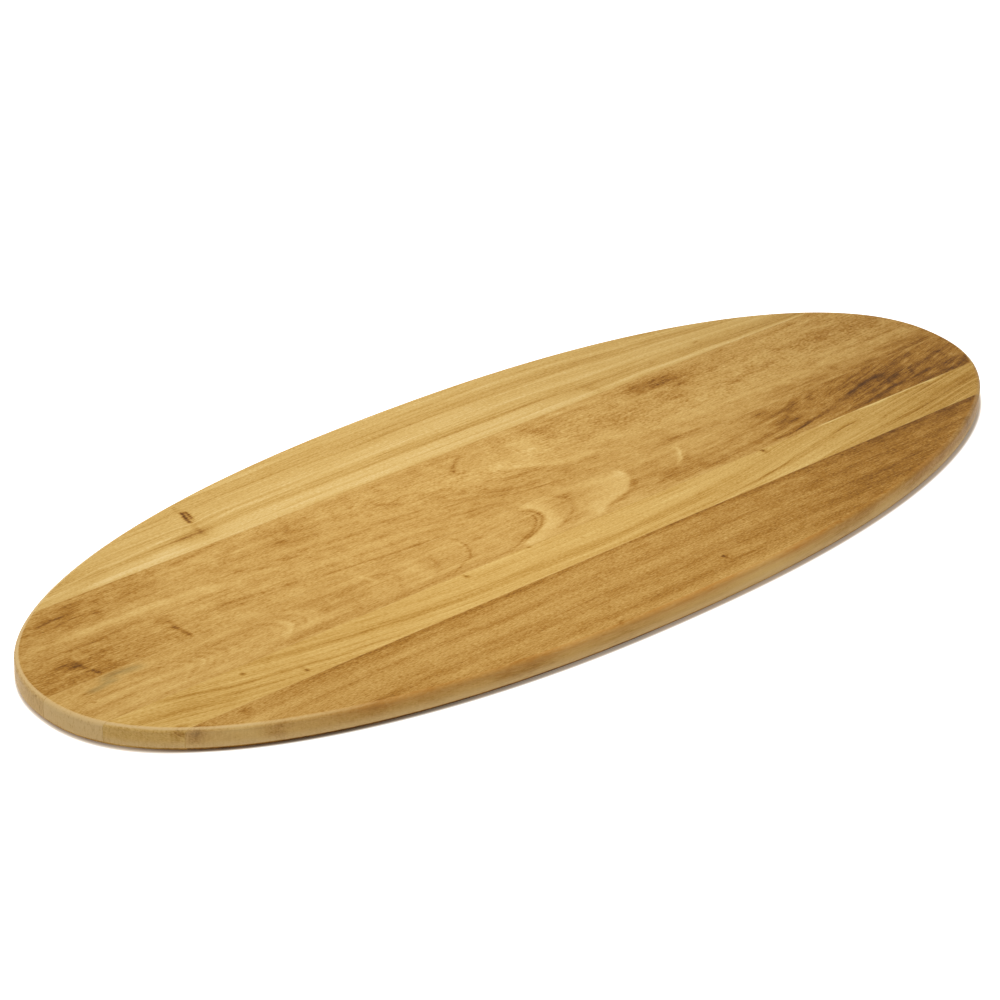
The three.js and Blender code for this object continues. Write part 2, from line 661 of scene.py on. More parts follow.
@dataclass(frozen=True)
class Wander:
    """Small seeded wandering of the grain, so that no streak runs as smoothly as a drawn line.

    Attributes:
        size: Typical length of a wave across the grain, in mm.
        amount: Typical distance, in mm.
        seed: Seed of the waves.
    """

    size: float
    amount: float
    seed: int

    # How many waves there are, how slowly they change along the board, and their sizes against the typical
    WAVES = 12
    STRETCH = 0.35
    SHORTEST = 0.6
    LONGEST = 1.8

    def shift(self, x: np.ndarray, y: np.ndarray) -> np.ndarray:
        """A sum of sine waves in seeded directions, longer along the board than across it.

        Args:
            x: Places along the board, in mm.
            y: Places across the board, in mm.

        Returns:
            The distance at each place, whose typical size is the given amount.
        """
        random = np.random.default_rng(self.seed)
        heading = random.uniform(0.0, 2 * math.pi, self.WAVES)
        pace = 2 * math.pi / (self.size * random.uniform(self.SHORTEST, self.LONGEST, self.WAVES))
        phase = random.uniform(0.0, 2 * math.pi, self.WAVES)
        total = np.zeros_like(x)
        for turn, rate, offset in zip(heading, pace, phase):
            total += np.sin(rate * (math.cos(turn) * x * self.STRETCH + math.sin(turn) * y) + offset)
        return self.amount * total / math.sqrt(self.WAVES / 2)


@dataclass(frozen=True)
class RimPlace:
    """Places on a stave's surface, as the rim sees them.

    Attributes:
        x: Places along the board, in mm.
        y: Places across the board, in mm.
        depth: Depths below the serving face, in mm.
        upright: How upright the surface is, from 0 for the faces to 1 for the rim's side.
        facing: How much of the way that the rim faces lies along the grain, from 0 to 1.
        thickness: Thickness of the board, in mm.
    """

    x: np.ndarray
    y: np.ndarray
    depth: np.ndarray
    upright: np.ndarray
    facing: np.ndarray
    thickness: float

    # Depths of the upper arris and of the roundover below it, and how far each of them fades, in mm
    ARRIS_DEPTH = 0.3
    ARRIS_SOFT = 0.45
    CREST_DEPTH = 1.2
    CREST_SOFT = 2.2
    # How fast the rim's looks take over from the faces' as the surface turns upright
    RIM_SHARPNESS = 2.0

    def near(self, depth: float, softness: float) -> np.ndarray:
        """How near a depth the places are, from 0 to 1, on the rim alone."""
        return bell(self.depth - depth, softness) * (self.depth > TINY)

    def arris(self) -> np.ndarray:
        """How near the upper arris the places are, from 0 to 1."""
        return self.near(self.ARRIS_DEPTH, self.ARRIS_SOFT)

    def crest(self) -> np.ndarray:
        """How near the upper roundover the places are, from 0 to 1."""
        return self.near(self.CREST_DEPTH, self.CREST_SOFT)

    def on_rim(self) -> np.ndarray:
        """1 on the rim and 0 on the two faces, with a soft change between them."""
        return smoothstep(self.RIM_SHARPNESS * self.upright)


@dataclass(frozen=True)
class Figure:
    """The figure of one stave: its grain, how dark the wood is where, and painted shade and light on its rim.

    Attributes:
        base: Darkness of the plain wood, from 0 for the palest to 1 for the darkest.
        flows: What turns the grain away from the board's length.
        bands: Growth rings along the grain.
        streaks: Streaks on the serving face.
        spots: Knots and patches on the serving face.
        rings: Sets of nested arcs on the serving face.
        stains: Streaks of grey mineral stain.
        bare_end: How bare of oil the end grain looks, from 0 to 1.
        seed: Seed of the grain's wandering.
    """

    base: float
    flows: tuple[Flow, ...] = ()
    bands: tuple[Band, ...] = ()
    streaks: tuple[Streak, ...] = ()
    spots: tuple[Spot, ...] = ()
    rings: tuple[Rings, ...] = ()
    stains: tuple[Streak, ...] = ()
    bare_end: float = 0.5
    seed: int = 1

    # How far the growth rings lean across for each mm of depth
    TILT = 0.6
    # Wandering of the marks and, in longer waves, of the grain, in mm
    WANDER_SIZE = 9.0
    GRAIN_WANDER_SIZE = 36.0
    WANDER_AMOUNT = 0.35
    # The underside's marks: how far along they lie, in mm, and how strong they are
    UNDERSIDE_SHIFT = 75.0
    UNDERSIDE_SHARE = 0.6
    # Patches on the rim: their size in mm, and their darkness
    PATCH_SIZE = 22.0
    PATCH_DARKER = 0.05
    # Painted shade along the rim's foot, where it turns under towards the table: its darkness, its height in
    # mm, where it fades along the board, and by how much
    FOOT_PAINTED_SHADE = 0.42
    FOOT_START = 2.4
    FOOT_SOFT = 0.5
    FOOT_FADE = 0.75
    FOOT_FADE_FROM = -140.0
    FOOT_FADE_OVER = 160.0
    # The share of end grain in the rim that leaves out the painted shade at the foot, and how softly it does
    FOOT_END_GRAIN = 0.9
    FOOT_END_SOFT = 0.5
    # Painted highlight on the upper arris of the left end, up to an x in mm, and painted light that makes the
    # long sides paler
    ARRIS_HIGHLIGHT = 0.15
    SIDE_PAINTED_LIGHT = 0.08
    HIGHLIGHT_END = -150.0
    HIGHLIGHT_SOFT = 60.0
    HIGHLIGHT_END_GRAIN = 0.7
    # The redder crest: its strength, how uneven it is, and where it comes in along the board, in mm
    RUDDY = 0.5
    RUDDY_UNEVEN = 0.3
    RUDDY_FROM = -240.0
    RUDDY_OVER = 50.0
    # Painted bounce light from the table on the side, as a share of the bare-wood colour, a little above and
    # more below, and the share of the thickness where the one becomes the other
    SIDE_BOUNCE = 0.12
    SIDE_BOUNCE_BELOW = 0.85
    SIDE_BOUNCE_FROM = 0.4
    SIDE_BOUNCE_OVER = 0.4
    BARE_END_GRAIN = 0.9

    def across_grain(self, x: np.ndarray, y: np.ndarray, depth: np.ndarray) -> np.ndarray:
        """Where a place lies across the growth rings.

        Args:
            x: Places along the board, in mm.
            y: Places across the board, in mm.
            depth: Depths below the serving face, in mm.

        Returns:
            The places across the grain, in mm, equal to y where the grain is straight.
        """
        wander = Wander(self.GRAIN_WANDER_SIZE, self.WANDER_AMOUNT, self.seed)
        return y + self.TILT * depth + sum(flow.shift(x, y) for flow in (*self.flows, wander))

    def face_marks(self, x: np.ndarray, y: np.ndarray) -> np.ndarray:
        """The sum of all streaks, spots and arcs, read at places that wander a little.

        Args:
            x: Places along the board, in mm.
            y: Places across the board, in mm.

        Returns:
            The change of darkness at each place.
        """
        wander_x = Wander(self.WANDER_SIZE, self.WANDER_AMOUNT, self.seed + 1).shift(x, y)
        wander_y = Wander(self.WANDER_SIZE, self.WANDER_AMOUNT, self.seed + 2).shift(x, y)
        marks = (*self.streaks, *self.spots, *self.rings)
        return sum(mark.darkness(x + wander_x, y + wander_y) for mark in marks)

    def darkness(self, place: RimPlace) -> np.ndarray:
        """The wood's darkness before fibres and pores.

        The marks of the serving face fade towards the underside, where fainter ones, moved along the
        board, take their place.

        Args:
            place: Places on the surface, as the rim sees them.

        Returns:
            The darkness at each place.
        """
        x, y = place.x, place.y
        across = self.across_grain(x, y, place.depth)
        bands = sum((band.darkness(x, across) for band in self.bands), np.zeros_like(x))
        below = smoothstep(place.depth / place.thickness)
        marks = self.face_marks(x, y) * (1 - below)
        marks += self.face_marks(x - self.UNDERSIDE_SHIFT, y) * below * self.UNDERSIDE_SHARE
        return self.base + bands + marks

    def rim_change(self, place: RimPlace) -> np.ndarray:
        """The rim's change of darkness: painted highlight and light, painted shade at the foot, and patches.

        Args:
            place: Places on the surface, as the rim sees them.

        Returns:
            The change at each place.
        """
        wander = Wander(self.PATCH_SIZE, self.PATCH_DARKER, self.seed + 3)
        patches = wander.shift(place.x, place.y) * place.on_rim()
        fading = smoothstep((place.x - self.FOOT_FADE_FROM) / self.FOOT_FADE_OVER)
        long_side = smoothstep((self.FOOT_END_GRAIN - place.facing) / self.FOOT_END_SOFT)
        # Painted shade along the rim's foot, left out on the end grain and fading towards the right
        foot = self.FOOT_PAINTED_SHADE * self.foot(place) * (long_side * (1 - self.FOOT_FADE * fading))
        # Painted light that makes the long sides paler, and a painted highlight on the left end's upper arris
        painted_side_light = self.SIDE_PAINTED_LIGHT * place.upright * (1 - place.facing)
        lightening = self.ARRIS_HIGHLIGHT * self.arris_highlight(place) + painted_side_light
        return patches + foot * place.on_rim() - lightening

    def ruddiness(self, place: RimPlace) -> np.ndarray:
        """How much redder the oil has made the crest of the rim's long sides.

        Args:
            place: Places on the surface, as the rim sees them.

        Returns:
            The share of the redder colour at each place.
        """
        wander = Wander(self.PATCH_SIZE, self.RUDDY_UNEVEN, self.seed + 4)
        uneven = 1 + wander.shift(place.x, place.y)
        comes_in = smoothstep((place.x - self.RUDDY_FROM) / self.RUDDY_OVER)
        return self.RUDDY * place.crest() * uneven * (1 - place.facing) * comes_in

    def arris_highlight(self, place: RimPlace) -> np.ndarray:
        """How near the upper arris of the left end, where a highlight is painted, the places are."""
        return place.arris() * smoothstep((self.HIGHLIGHT_END - place.x) / self.HIGHLIGHT_SOFT)

    def foot(self, place: RimPlace) -> np.ndarray:
        """How near the rim's lowest line, where shade is painted, the places are, from 0 to 1."""
        return smoothstep((place.depth - place.thickness + self.FOOT_START) / self.FOOT_SOFT)

    def bare_and_lit_share(self, place: RimPlace) -> np.ndarray:
        """How much of the pale bare-wood colour the rim takes: on bare end grain, and as painted highlight on
        the left arris and painted bounce light on the side, most towards the underside.

        Args:
            place: Places on the surface, as the rim sees them.

        Returns:
            The share at each place, from 0 to 1.
        """
        lower = smoothstep((place.depth / place.thickness - self.SIDE_BOUNCE_FROM) / self.SIDE_BOUNCE_OVER)
        # Painted bounce light from the white table on the side, strongest towards the underside
        side = (self.SIDE_BOUNCE + (self.SIDE_BOUNCE_BELOW - self.SIDE_BOUNCE) * lower) * place.upright
        # Bare end grain, which is the wood's own paler colour
        cut = self.bare_end * smoothstep(place.facing / self.BARE_END_GRAIN) * place.on_rim()
        arris = self.arris_highlight(place) * smoothstep(place.facing / self.HIGHLIGHT_END_GRAIN)
        return np.maximum.reduce([side, cut, arris]) * (1 - self.foot(place))

    def stain(self, x: np.ndarray, y: np.ndarray) -> np.ndarray:
        """How much grey mineral stain there is, from 0 to 1."""
        return sum((streak.darkness(x, y) for streak in self.stains), np.zeros_like(x))


class Attribute(Enum):
    """What the vertices of a stave or of the table carry for their material."""

    # Darkness of the figure, with the rim's painted shade and light added
    FIGURE_AND_PAINTED_LIGHT = "figure"
    ACROSS = "across_grain"
    SIDE = "side"
    END_GRAIN = "end_grain"
    STAIN = "stain"
    # Share of the pale bare-wood colour: bare end grain, and painted highlight and painted bounce light on
    # the rim
    BARE_AND_LIT = "bare"
    RUDDY = "ruddy"
    WHITE = "white"


def carry(piece: bpy.types.Object, which: Attribute, values: np.ndarray) -> None:
    """Stores a value for each vertex of a piece."""
    layer = piece.data.attributes.new(which.value, "FLOAT", "POINT")
    layer.data.foreach_set("value", values.astype(np.float32))


@dataclass(frozen=True)
class Texture:
    """Noise of one kind, such as fibres or pores.

    Attributes:
        size: Size of its grains along x, y and z, in mm.
        detail: How many finer layers it has.
    """

    size: tuple[float, float, float]
    detail: float


Socket = bpy.types.NodeSocket | float


class NodeGraph:
    """The nodes of a material or of the world, put together from small steps."""

    # Middle of a noise texture's values, and the weak reflection of a satin face
    NOISE_MIDDLE = 0.5
    SATIN_SPECULAR = 0.07

    def __init__(self, owner: bpy.types.Material | bpy.types.World) -> None:
        """Starts with no nodes.

        Args:
            owner: The new material or world.
        """
        owner.use_nodes = True
        self.tree = owner.node_tree
        self.tree.nodes.clear()

    def node(self, kind: str) -> bpy.types.Node:
        """Adds a node of the given kind."""
        return self.tree.nodes.new(kind)

    def feed(self, socket: bpy.types.NodeSocket, value: Socket | tuple) -> None:
        """Links an output to a socket, or sets the socket to a constant.

        Args:
            socket: Input of a node.
            value: Output of a node, or a number or colour.
        """
        if isinstance(value, bpy.types.NodeSocket):
            self.tree.links.new(value, socket)
        else:
            socket.default_value = value

    def math(self, operation: str, *operands: Socket) -> bpy.types.NodeSocket:
        """One step of arithmetic.

        Args:
            operation: Name of the operation, as the Math node has it.
            operands: As many operands as the operation takes.

        Returns:
            The result's socket.
        """
        step = self.node("ShaderNodeMath")
        step.operation = operation
        for socket, operand in zip(step.inputs, operands):
            self.feed(socket, operand)
        return step.outputs[0]

    def weighted(self, *terms: tuple[Socket, Socket], start: Socket = 0.0) -> Socket:
        """A start plus values, each times its weight.

        Args:
            terms: Values with their weights.
            start: What the sum starts from.

        Returns:
            The sum's socket.
        """
        total = start
        for value, weight in terms:
            total = self.math("MULTIPLY_ADD", value, weight, total)
        return total

    def share(self, value: Socket, start: float, end: float) -> bpy.types.NodeSocket:
        """How far a value is from one bound to the other, with soft ends.

        Args:
            value: The value.
            start: Where the share is 0.
            end: Where the share is 1.

        Returns:
            The share's socket, from 0 to 1.
        """
        step = self.node("ShaderNodeMapRange")
        step.interpolation_type = "SMOOTHSTEP"
        self.feed(step.inputs["Value"], value)
        step.inputs["From Min"].default_value = start
        step.inputs["From Max"].default_value = end
        return step.outputs["Result"]

    def attribute(self, which: Attribute) -> bpy.types.NodeSocket:
        """A value that the vertices carry.

        Args:
            which: Name of the value.

        Returns:
            The value's socket.
        """
        step = self.node("ShaderNodeAttribute")
        step.attribute_name = which.value
        return step.outputs["Fac"]

    def place(self) -> list[bpy.types.NodeSocket]:
        """Where the shaded place lies in the object's own frame.

        Returns:
            Sockets of x, y and z, in mm.
        """
        split = self.node("ShaderNodeSeparateXYZ")
        self.feed(split.inputs[0], self.node("ShaderNodeTexCoord").outputs["Object"])
        return [self.math("DIVIDE", axis, MM) for axis in split.outputs]

    def noise(self, place: list[Socket], texture: Texture, reach: float = 1.0) -> bpy.types.NodeSocket:
        """Noise about 0.

        Args:
            place: Where to read it, in mm.
            texture: Its grains.
            reach: How long the grains are along x, against the usual.

        Returns:
            Its value, mostly between -0.3 and 0.3.
        """
        join = self.node("ShaderNodeCombineXYZ")
        length, width, depth = texture.size
        for socket, axis, size in zip(join.inputs, place, (length * reach, width, depth)):
            self.feed(socket, self.math("DIVIDE", axis, size))
        step = self.node("ShaderNodeTexNoise")
        self.feed(step.inputs["Vector"], join.outputs[0])
        step.inputs["Scale"].default_value = 1.0
        step.inputs["Detail"].default_value = texture.detail
        return self.math("SUBTRACT", step.outputs["Fac"], self.NOISE_MIDDLE)

    def ramp(self, value: Socket, stops: tuple[tuple[float, Colour], ...]) -> bpy.types.NodeSocket:
        """The colour at a value.

        Args:
            value: The value, from 0 to 1.
            stops: Values in rising order, with their colours.

        Returns:
            The colour's socket.
        """
        step = self.node("ShaderNodeValToRGB")
        self.feed(step.inputs[0], value)
        elements = step.color_ramp.elements
        while len(elements) < len(stops):
            elements.new(0.5)
        for element, (position, colour) in zip(elements, stops):
            element.position = position
            element.color = (*colour, 1.0)
        return step.outputs["Color"]

    def mix(self, share: Socket, first: Socket | Colour, second: Socket | Colour) -> bpy.types.NodeSocket:
        """The colour between two colours.

        Args:
            share: 0 for the first colour and 1 for the second.
            first: First colour.
            second: Second colour.

        Returns:
            The colour's socket.
        """
        step = self.node("ShaderNodeMix")
        step.data_type = "RGBA"
        self.feed(step.inputs["Factor"], share)
        for socket, colour in ((step.inputs[6], first), (step.inputs[7], second)):
            self.feed(socket, (*colour, 1.0) if isinstance(colour, tuple) else colour)
        return step.outputs[2]

    def bump(self, height: Socket, distance: float, strength: float) -> bpy.types.NodeSocket:
        """A normal that is tilted by a relief.

        Args:
            height: The relief, in units of the distance.
            distance: Height of one unit, in metres.
            strength: How much the relief tilts the normal, from 0 to 1.

        Returns:
            The normal's socket.
        """
        step = self.node("ShaderNodeBump")
        self.feed(step.inputs["Height"], height)
        step.inputs["Distance"].default_value = distance
        step.inputs["Strength"].default_value = strength
        return step.outputs["Normal"]

    def looked_at(self) -> bpy.types.NodeSocket:
        """Whether a place is seen, by the camera or in a reflection or through a clear thing.

        Returns:
            A socket that is 1 where it is seen, and 0 where it only gives light.
        """
        path = self.node("ShaderNodeLightPath")
        beyond = self.math("MAXIMUM", path.outputs["Is Glossy Ray"], path.outputs["Is Transmission Ray"])
        return self.math("MAXIMUM", path.outputs["Is Camera Ray"], beyond)

    def satin(self, colour: Socket, roughness: Socket, normal: Socket | None = None) -> None:
        """Closes the graph with one plain dielectric surface.

        Args:
            colour: Its colour.
            roughness: Its roughness.
            normal: Its normal, or None for the mesh's own.
        """
        shader = self.node("ShaderNodeBsdfPrincipled")
        self.feed(shader.inputs["Base Color"], colour)
        self.feed(shader.inputs["Roughness"], roughness)
        shader.inputs["Specular IOR Level"].default_value = self.SATIN_SPECULAR
        if normal is not None:
            self.feed(shader.inputs["Normal"], normal)
        self.feed(self.node("ShaderNodeOutputMaterial").inputs["Surface"], shader.outputs[0])


Palette = tuple[tuple[float, Colour], ...]


def palette(*colours: tuple[int, int, int]) -> Palette:
    """Colours of the screen, at even steps from the palest wood at 0 to the darkest at 1."""
    return tuple((step / (len(colours) - 1), linear(*colour)) for step, colour in enumerate(colours))


DARKEST = (88, 53, 14)
BROWN = palette((241, 208, 138), (224, 184, 108), (203, 157, 82), (171, 118, 40), (128, 82, 22), DARKEST)
GOLDEN = palette((240, 209, 144), (224, 186, 111), (204, 161, 84), (174, 124, 52), (128, 82, 24), DARKEST)
STRAW = palette((240, 208, 132), (224, 184, 106), (204, 159, 79), (173, 121, 38), (128, 82, 22), DARKEST)


@dataclass(frozen=True)
class WoodFinish:
    """Oiled wood of one stave.

    Attributes:
        name: Name of the material.
        base: Darkness of the plain wood, as the stave's figure has it.
        reach: How long its fibres and growth bands run, against the usual.
        fibre: Contrast of single fibres.
        fleck: Contrast of short flecks.
        streak: Contrast of bundles of fibres.
        broad: Contrast of broad growth bands.
        mottle: Contrast of mottling that doesn't follow the grain.
        pore: Darkness of open pores.
        colours: Colours from the palest to the darkest wood.
    """

    name: str
    base: float
    reach: float = 1.0
    fibre: float = 0.42
    fleck: float = 0.62
    streak: float = 0.30
    broad: float = 0.26
    mottle: float = 0.14
    pore: float = 0.14
    colours: Palette = BROWN

    # Grains of each texture, and the noise from which a pore opens until it is fully open
    FIBRES = Texture((13.0, 0.55, 0.55), 3.0)
    STREAKS = Texture((55.0, 2.2, 2.2), 2.0)
    FLECKS = Texture((2.0, 0.5, 0.5), 2.0)
    BROAD_BANDS = Texture((170.0, 8.0, 8.0), 1.0)
    MOTTLING = Texture((9.0, 5.0, 5.0), 3.0)
    PORES = Texture((4.5, 0.4, 0.4), 1.0)
    TICKS = Texture((0.9, 0.9, 3.0), 2.0)
    PORE_OPENS = (0.17, 0.26)
    # How much fainter flecks are on the rim's side, how much darker the end grain is, and its ticks' contrast
    SMOOTHER_SIDE = 0.7
    END_GRAIN_DARKER = 0.02
    TICK_CONTRAST = 0.5
    # How much fibres, streaks and mottling break the figure up
    FIGURE_FIBRE = 1.0
    FIGURE_STREAK = 0.6
    FIGURE_MOTTLE = 0.6
    # Colours of mineral stain, oil on the crest, and bare wood, which also paints highlight and bounce light
    # on the rim, and how the textures break them up
    STAIN_COLOUR = linear(148, 130, 80)
    STAIN_FIBRE = 2.0
    RUDDY_COLOUR = linear(200, 136, 58)
    RUDDY_FIBRE = 1.5
    BARE_AND_LIT_COLOUR = linear(226, 192, 133)
    BARE_AND_LIT_TICK = -1.6
    BARE_AND_LIT_FIBRE = -1.2
    BARE_AND_LIT_FLECK = -0.8
    # Roughness, and how much rougher each texture makes it
    ROUGHNESS = 0.48
    ROUGHER_FIBRE = 0.25
    ROUGHER_PORE = 0.12
    ROUGHER_MOTTLE = 0.1
    # Height of the relief, how much it tilts the normal, and the share of each texture
    RELIEF = 0.04 * MM
    RELIEF_STRENGTH = 0.5
    RELIEF_FIBRE = 0.6
    RELIEF_STREAK = 0.4
    RELIEF_PORE = -0.7

    def material(self) -> bpy.types.Material:
        """Wood whose figure comes from the vertices, with fibres, pores and end grain along the grain.

        Returns:
            The new material.
        """
        material = bpy.data.materials.new(self.name)
        graph = NodeGraph(material)
        x, y, z = graph.place()
        grain = [x, graph.attribute(Attribute.ACROSS), z]
        fibre = graph.noise(grain, self.FIBRES, self.reach)
        streak = graph.noise(grain, self.STREAKS, self.reach)
        smoother = graph.weighted((graph.attribute(Attribute.SIDE), -self.SMOOTHER_SIDE), start=1.0)
        fleck = graph.math("MULTIPLY", graph.noise(grain, self.FLECKS), smoother)
        broad = graph.noise(grain, self.BROAD_BANDS, self.reach)
        mottle = graph.noise([x, y, z], self.MOTTLING)
        pore = graph.share(graph.noise(grain, self.PORES), *self.PORE_OPENS)
        tick = graph.noise([x, y, z], self.TICKS)
        end = graph.attribute(Attribute.END_GRAIN)

        marks = graph.math("SUBTRACT", graph.attribute(Attribute.FIGURE_AND_PAINTED_LIGHT), self.base)
        broken = graph.weighted(
            (fibre, self.FIGURE_FIBRE),
            (streak, self.FIGURE_STREAK),
            (mottle, self.FIGURE_MOTTLE),
            start=1.0,
        )
        darkness = graph.weighted(
            (marks, broken),
            (fibre, self.fibre),
            (fleck, self.fleck),
            (streak, self.streak),
            (broad, self.broad),
            (mottle, self.mottle),
            (pore, self.pore),
            (end, graph.weighted((tick, self.TICK_CONTRAST), start=self.END_GRAIN_DARKER)),
            start=self.base,
        )
        colour = graph.ramp(darkness, self.colours)
        on_fibres = graph.weighted((fibre, self.STAIN_FIBRE), start=1.0)
        stain = graph.math("MULTIPLY", graph.attribute(Attribute.STAIN), on_fibres)
        colour = graph.mix(stain, colour, self.STAIN_COLOUR)
        on_fibres = graph.weighted((fibre, self.RUDDY_FIBRE), start=1.0)
        ruddy = graph.math("MULTIPLY", graph.attribute(Attribute.RUDDY), on_fibres)
        colour = graph.mix(ruddy, colour, self.RUDDY_COLOUR)
        # Bare end grain, and the painted highlight and painted bounce light that take the same pale colour
        end_tick = graph.math("MULTIPLY", tick, end)
        lightening = graph.weighted(
            (end_tick, self.BARE_AND_LIT_TICK), (fibre, self.BARE_AND_LIT_FIBRE), (fleck, self.BARE_AND_LIT_FLECK), start=1.0
        )
        bare = graph.math("MULTIPLY", graph.attribute(Attribute.BARE_AND_LIT), lightening)
        colour = graph.mix(bare, colour, self.BARE_AND_LIT_COLOUR)
        roughness = graph.weighted(
            (fibre, self.ROUGHER_FIBRE),
            (pore, self.ROUGHER_PORE),
            (mottle, self.ROUGHER_MOTTLE),
            start=self.ROUGHNESS,
        )
        relief = graph.weighted(
            (fibre, self.RELIEF_FIBRE), (streak, self.RELIEF_STREAK), (pore, self.RELIEF_PORE)
        )
        graph.satin(colour, roughness, graph.bump(relief, self.RELIEF, self.RELIEF_STRENGTH))
        return material


@dataclass(frozen=True)
class GlueFinish:
    """Dried glue: an amber film, clearer or more clouded from place to place.

    Attributes:
        name: Name of the material.
        dark: Colour where it is clear and shows the wood's shade.
        pale: Colour where it is clouded.
    """

    name: str
    dark: Colour = linear(186, 142, 74)
    pale: Colour = linear(214, 172, 98)

    # Clouds, the flecks in them, and the noise over which the film changes from clear to clouded
    CLOUDS = Texture((28.0, 2.0, 4.0), 3.0)
    FLECKS = Texture((2.5, 1.0, 1.0), 2.0)
    CLOUD_FLECK = 0.5
    CLOUDED = (-0.2, 0.25)
    # Roughness, and how much rougher the flecks make it
    ROUGHNESS = 0.42
    ROUGHER_FLECK = 0.3

    def material(self) -> bpy.types.Material:
        """A soft change between the two colours along the film, with a satin face.

        Returns:
            The new material.
        """
        material = bpy.data.materials.new(self.name)
        graph = NodeGraph(material)
        place = graph.place()
        cloud = graph.noise(place, self.CLOUDS)
        fleck = graph.noise(place, self.FLECKS)
        clouded = graph.weighted((cloud, 1.0), (fleck, self.CLOUD_FLECK))
        colour = graph.mix(graph.share(clouded, *self.CLOUDED), self.dark, self.pale)
        graph.satin(colour, graph.weighted((fleck, self.ROUGHER_FLECK), start=self.ROUGHNESS))
        return material


@dataclass
class Stave:
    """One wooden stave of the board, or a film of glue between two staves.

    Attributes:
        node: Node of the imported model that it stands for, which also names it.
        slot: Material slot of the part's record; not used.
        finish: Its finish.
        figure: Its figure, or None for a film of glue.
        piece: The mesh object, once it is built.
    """

    node: str
    slot: str
    finish: WoodFinish | GlueFinish
    figure: Figure | None = None
    piece: bpy.types.Object | None = field(default=None, init=False)

    def surface(self, shape: PanelShape) -> Surface:
        """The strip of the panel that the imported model's node takes up.

        Args:
            shape: The panel that the stave is a strip of.

        Returns:
            The closed surface of the strip.
        """
        low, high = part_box(self.node)
        edge = shape.plan.half_width
        if high.y > edge - GRID_ACROSS:
            return shape.edge_strip(low.y)
        if low.y < GRID_ACROSS - edge:
            return shape.edge_strip(-high.y).mirrored()
        return shape.core_strip(low.y, high.y)

    def build(self, shape: PanelShape) -> None:
        """Makes the mesh object.

        Args:
            shape: The panel that the stave is a strip of.
        """
        self.piece = self.surface(shape).to_object(self.node)
        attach(self.piece, BODY)
        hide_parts(self.node)

    def places(self, shape: PanelShape) -> RimPlace:
        """Where the vertices lie, as the rim sees them.

        Args:
            shape: The panel that the stave is a strip of.

        Returns:
            The places of all vertices.
        """
        vertices = self.piece.data.vertices
        points = np.empty(3 * len(vertices))
        vertices.foreach_get("co", points)
        x, y, z = points.reshape(-1, 3).T
        thickness = shape.rim.thickness
        depth = np.clip(thickness - z, 0.0, thickness)
        upright = shape.rim.upright(z)
        return RimPlace(x / MM, y / MM, depth / MM, upright, shape.plan.facing(x, y), thickness / MM)

    def dress(self, shape: PanelShape) -> None:
        """Works the figure out at the vertices and puts the finish on.

        Args:
            shape: The panel that the stave is a strip of.
        """
        if self.figure is not None:
            place = self.places(shape)
            # The figure's darkness, with the rim's painted shade, highlight and bounce light added
            carry(self.piece, Attribute.FIGURE_AND_PAINTED_LIGHT, self.figure.darkness(place) + self.figure.rim_change(place))
            carry(self.piece, Attribute.ACROSS, self.figure.across_grain(place.x, place.y, place.depth))
            carry(self.piece, Attribute.SIDE, place.upright)
            carry(self.piece, Attribute.END_GRAIN, place.upright * place.facing)
            carry(self.piece, Attribute.STAIN, self.figure.stain(place.x, place.y))
            carry(self.piece, Attribute.RUDDY, self.figure.ruddiness(place))
            # Share of the pale bare-wood colour, which also paints highlight and bounce light on the rim
            carry(self.piece, Attribute.BARE_AND_LIT, self.figure.bare_and_lit_share(place))
        self.piece.data.materials.append(self.finish.material())


